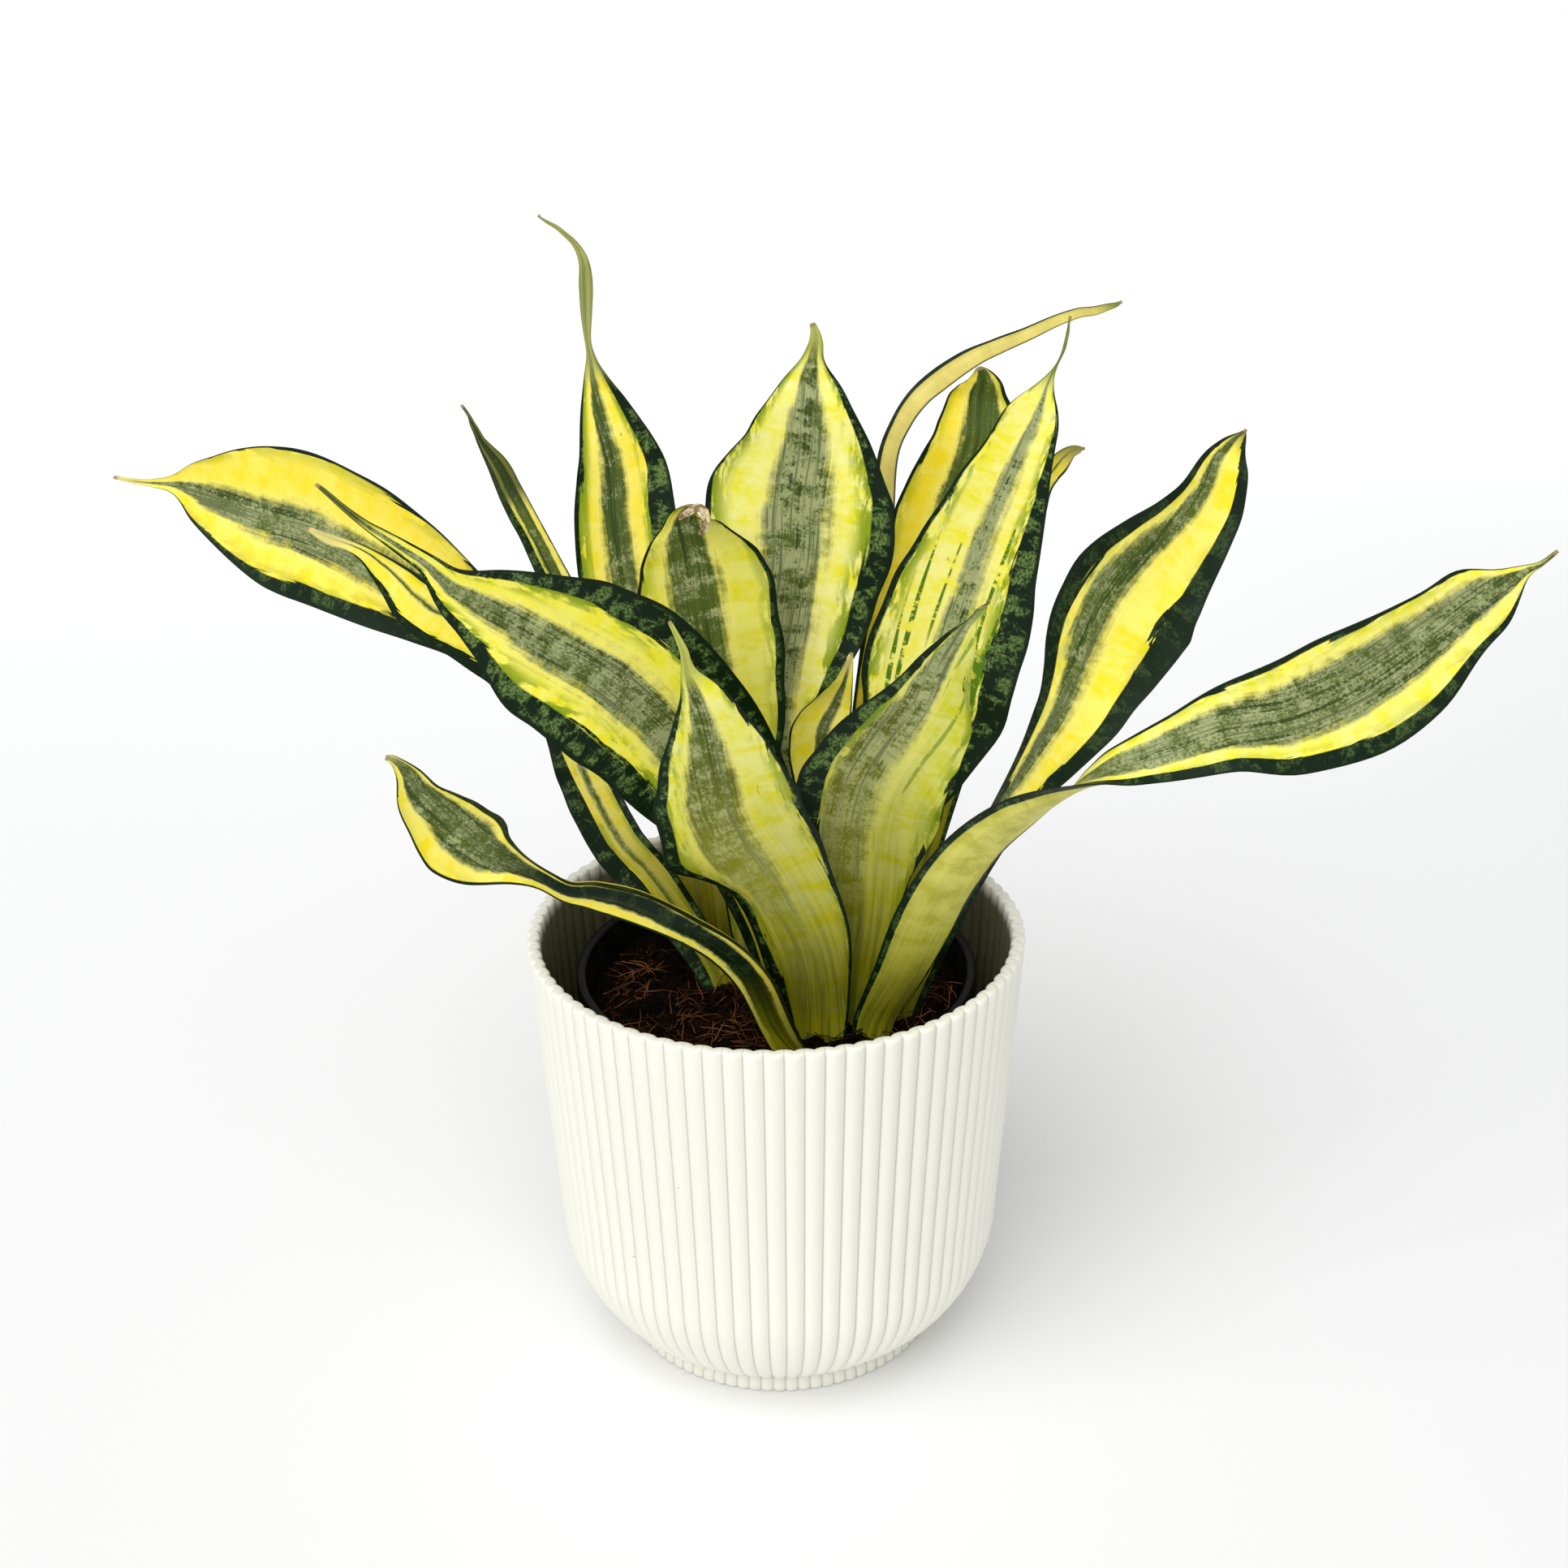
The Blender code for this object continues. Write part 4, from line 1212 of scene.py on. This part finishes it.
def add_loose_bits(coir, first_away):
    """Fibres, crumbs and bark chips over the top of the coir, clear of the pot's wall."""
    ground = top_of(coir, first_away)
    rng = np.random.default_rng(8)
    fine = fibre_shapes(rng, 9, 0.16 * MM, (7, 17), (0.6, 3.2))
    stout = fibre_shapes(rng, 7, 0.27 * MM, (9, 22), (0.5, 3.0))
    crumbs = [chip_shape(rng, rng.uniform(0.5, 1.1) * MM) for _ in range(5)]
    chips = [chip_shape(rng, rng.uniform(1.5, 2.8) * MM) for _ in range(5)]
    red = fibre_finish("coir_fibre_red", rgba(0.003, 0.0010, 0.0005), rgba(0.040, 0.012, 0.004))
    tan = fibre_finish("coir_fibre_tan", rgba(0.015, 0.005, 0.002), rgba(0.22, 0.080, 0.026))
    bark = fibre_finish("bark", rgba(0.002, 0.0010, 0.0007), rgba(0.020, 0.008, 0.004))
    for name, shapes, surface, density, seed, tilt, least in (
        ("coir_fine_fibres", fine, red, 150000.0, 3, 0.45, 0.5),
        ("coir_stout_fibres", stout, tan, 60000.0, 9, 0.38, 0.5),
        ("coir_crumbs", crumbs, bark, 110000.0, 15, 0.8, 0.4),
        ("bark_chips", chips, bark, 7000.0, 22, 0.5, 0.5),
    ):
        scatter(name, ground, shapes, surface, Density=density, Seed=seed, Tilt=tilt, Least_Size=least)
    bpy.data.meshes.remove(ground)


def finish_rhizome():
    """The CAD's rhizome, which the coir hides, keeps its shape and gets a skin."""
    made, shader = new_material("rhizome_skin")
    place = object_place(shader)
    colour = mixed(noise(place, 60.0, 4.0), rgba(0.52, 0.30, 0.10), rgba(0.70, 0.48, 0.22))
    fill(shader, {"Base Color": colour, "Roughness": 0.65})
    add_bump(shader, noise(place, 240.0, 4.0), 0.5, 0.6 * MM)
    materials = frame["nodes"]["rhizome"].data.materials
    materials.clear()
    materials.append(made)


# ---------------------------------------------------------------- studio

def add_floor():
    """A pale floor with painted light: a little brighter behind the plant, and painted shade to its right.
    """
    made, shader = new_material("pale_floor")
    place = object_place(shader)
    x, y, _ = parts_of(place)
    colour = mixed(noise(place, 3.0), rgba(0.840, 0.840, 0.838), rgba(0.855, 0.855, 0.853))
    # Painted light: the floor is brighter behind the plant.
    colour = mixed(rise(y, 0.1, 0.9), colour, rgba(0.92, 0.92, 0.92))
    # Painted shade: the floor is darker to the plant's right.
    painted_shade_right = rise(x, 0.10, 0.50) * rise(y, 1.1, 0.1)
    colour = mixed(painted_shade_right, colour, rgba(0.77, 0.77, 0.772))
    fill(shader, {"Base Color": colour, "Roughness": 0.8})
    corners = [(x, y, 0) for x, y in ((-30, -30), (30, -30), (30, 30), (-30, 30))]
    add_piece("floor", corners, [(0, 1, 2, 3)], made, smooth=False)


def add_studio():
    """An even white surround and one large soft light from the front left."""
    world = bpy.data.worlds.new("studio")
    world.use_nodes = True
    fill(world.node_tree.nodes["Background"], {"Color": rgba(0.98, 0.99, 1.0), "Strength": 0.50})
    bpy.context.scene.world = world
    sun = bpy.data.lights.new("large_soft_key", "SUN")
    sun.angle = radians(66)
    sun.energy = 2.50
    key = place_in_scene("large_soft_key", sun)
    key.location = (-0.38, -0.82, 1.38)
    middle = Vector((0.0, 0.0, 0.15))
    key.rotation_euler = (middle - key.location).to_track_quat("-Z", "Y").to_euler()


def add_camera():
    pitch, heading, bank = radians(24.24), radians(-0.40), radians(-0.63)
    lens = bpy.data.cameras.new("camera")
    lens.sensor_width = 36.0
    lens.lens = 48.4
    lens.clip_start = 0.01
    made = place_in_scene("camera", lens)
    turn = Matrix.Rotation(heading, 4, "Z") @ Matrix.Rotation(pi / 2 - pitch, 4, "X")
    turn = turn @ Matrix.Rotation(bank, 4, "Z")
    place = (-0.0009, -0.5246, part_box("cover_pot")[1].z + 0.2797)
    made.matrix_world = Matrix.Translation(place) @ turn
    bpy.context.scene.camera = made


for old in list(bpy.data.objects):
    bpy.data.objects.remove(old, do_unlink=True)
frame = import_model()
add_camera()
add_studio()
add_floor()
add_cover_pot()
add_nursery_pot()
add_coir()
add_leaves()
add_dried_tip()
finish_rhizome()
bpy.context.scene.view_settings.view_transform = "Standard"
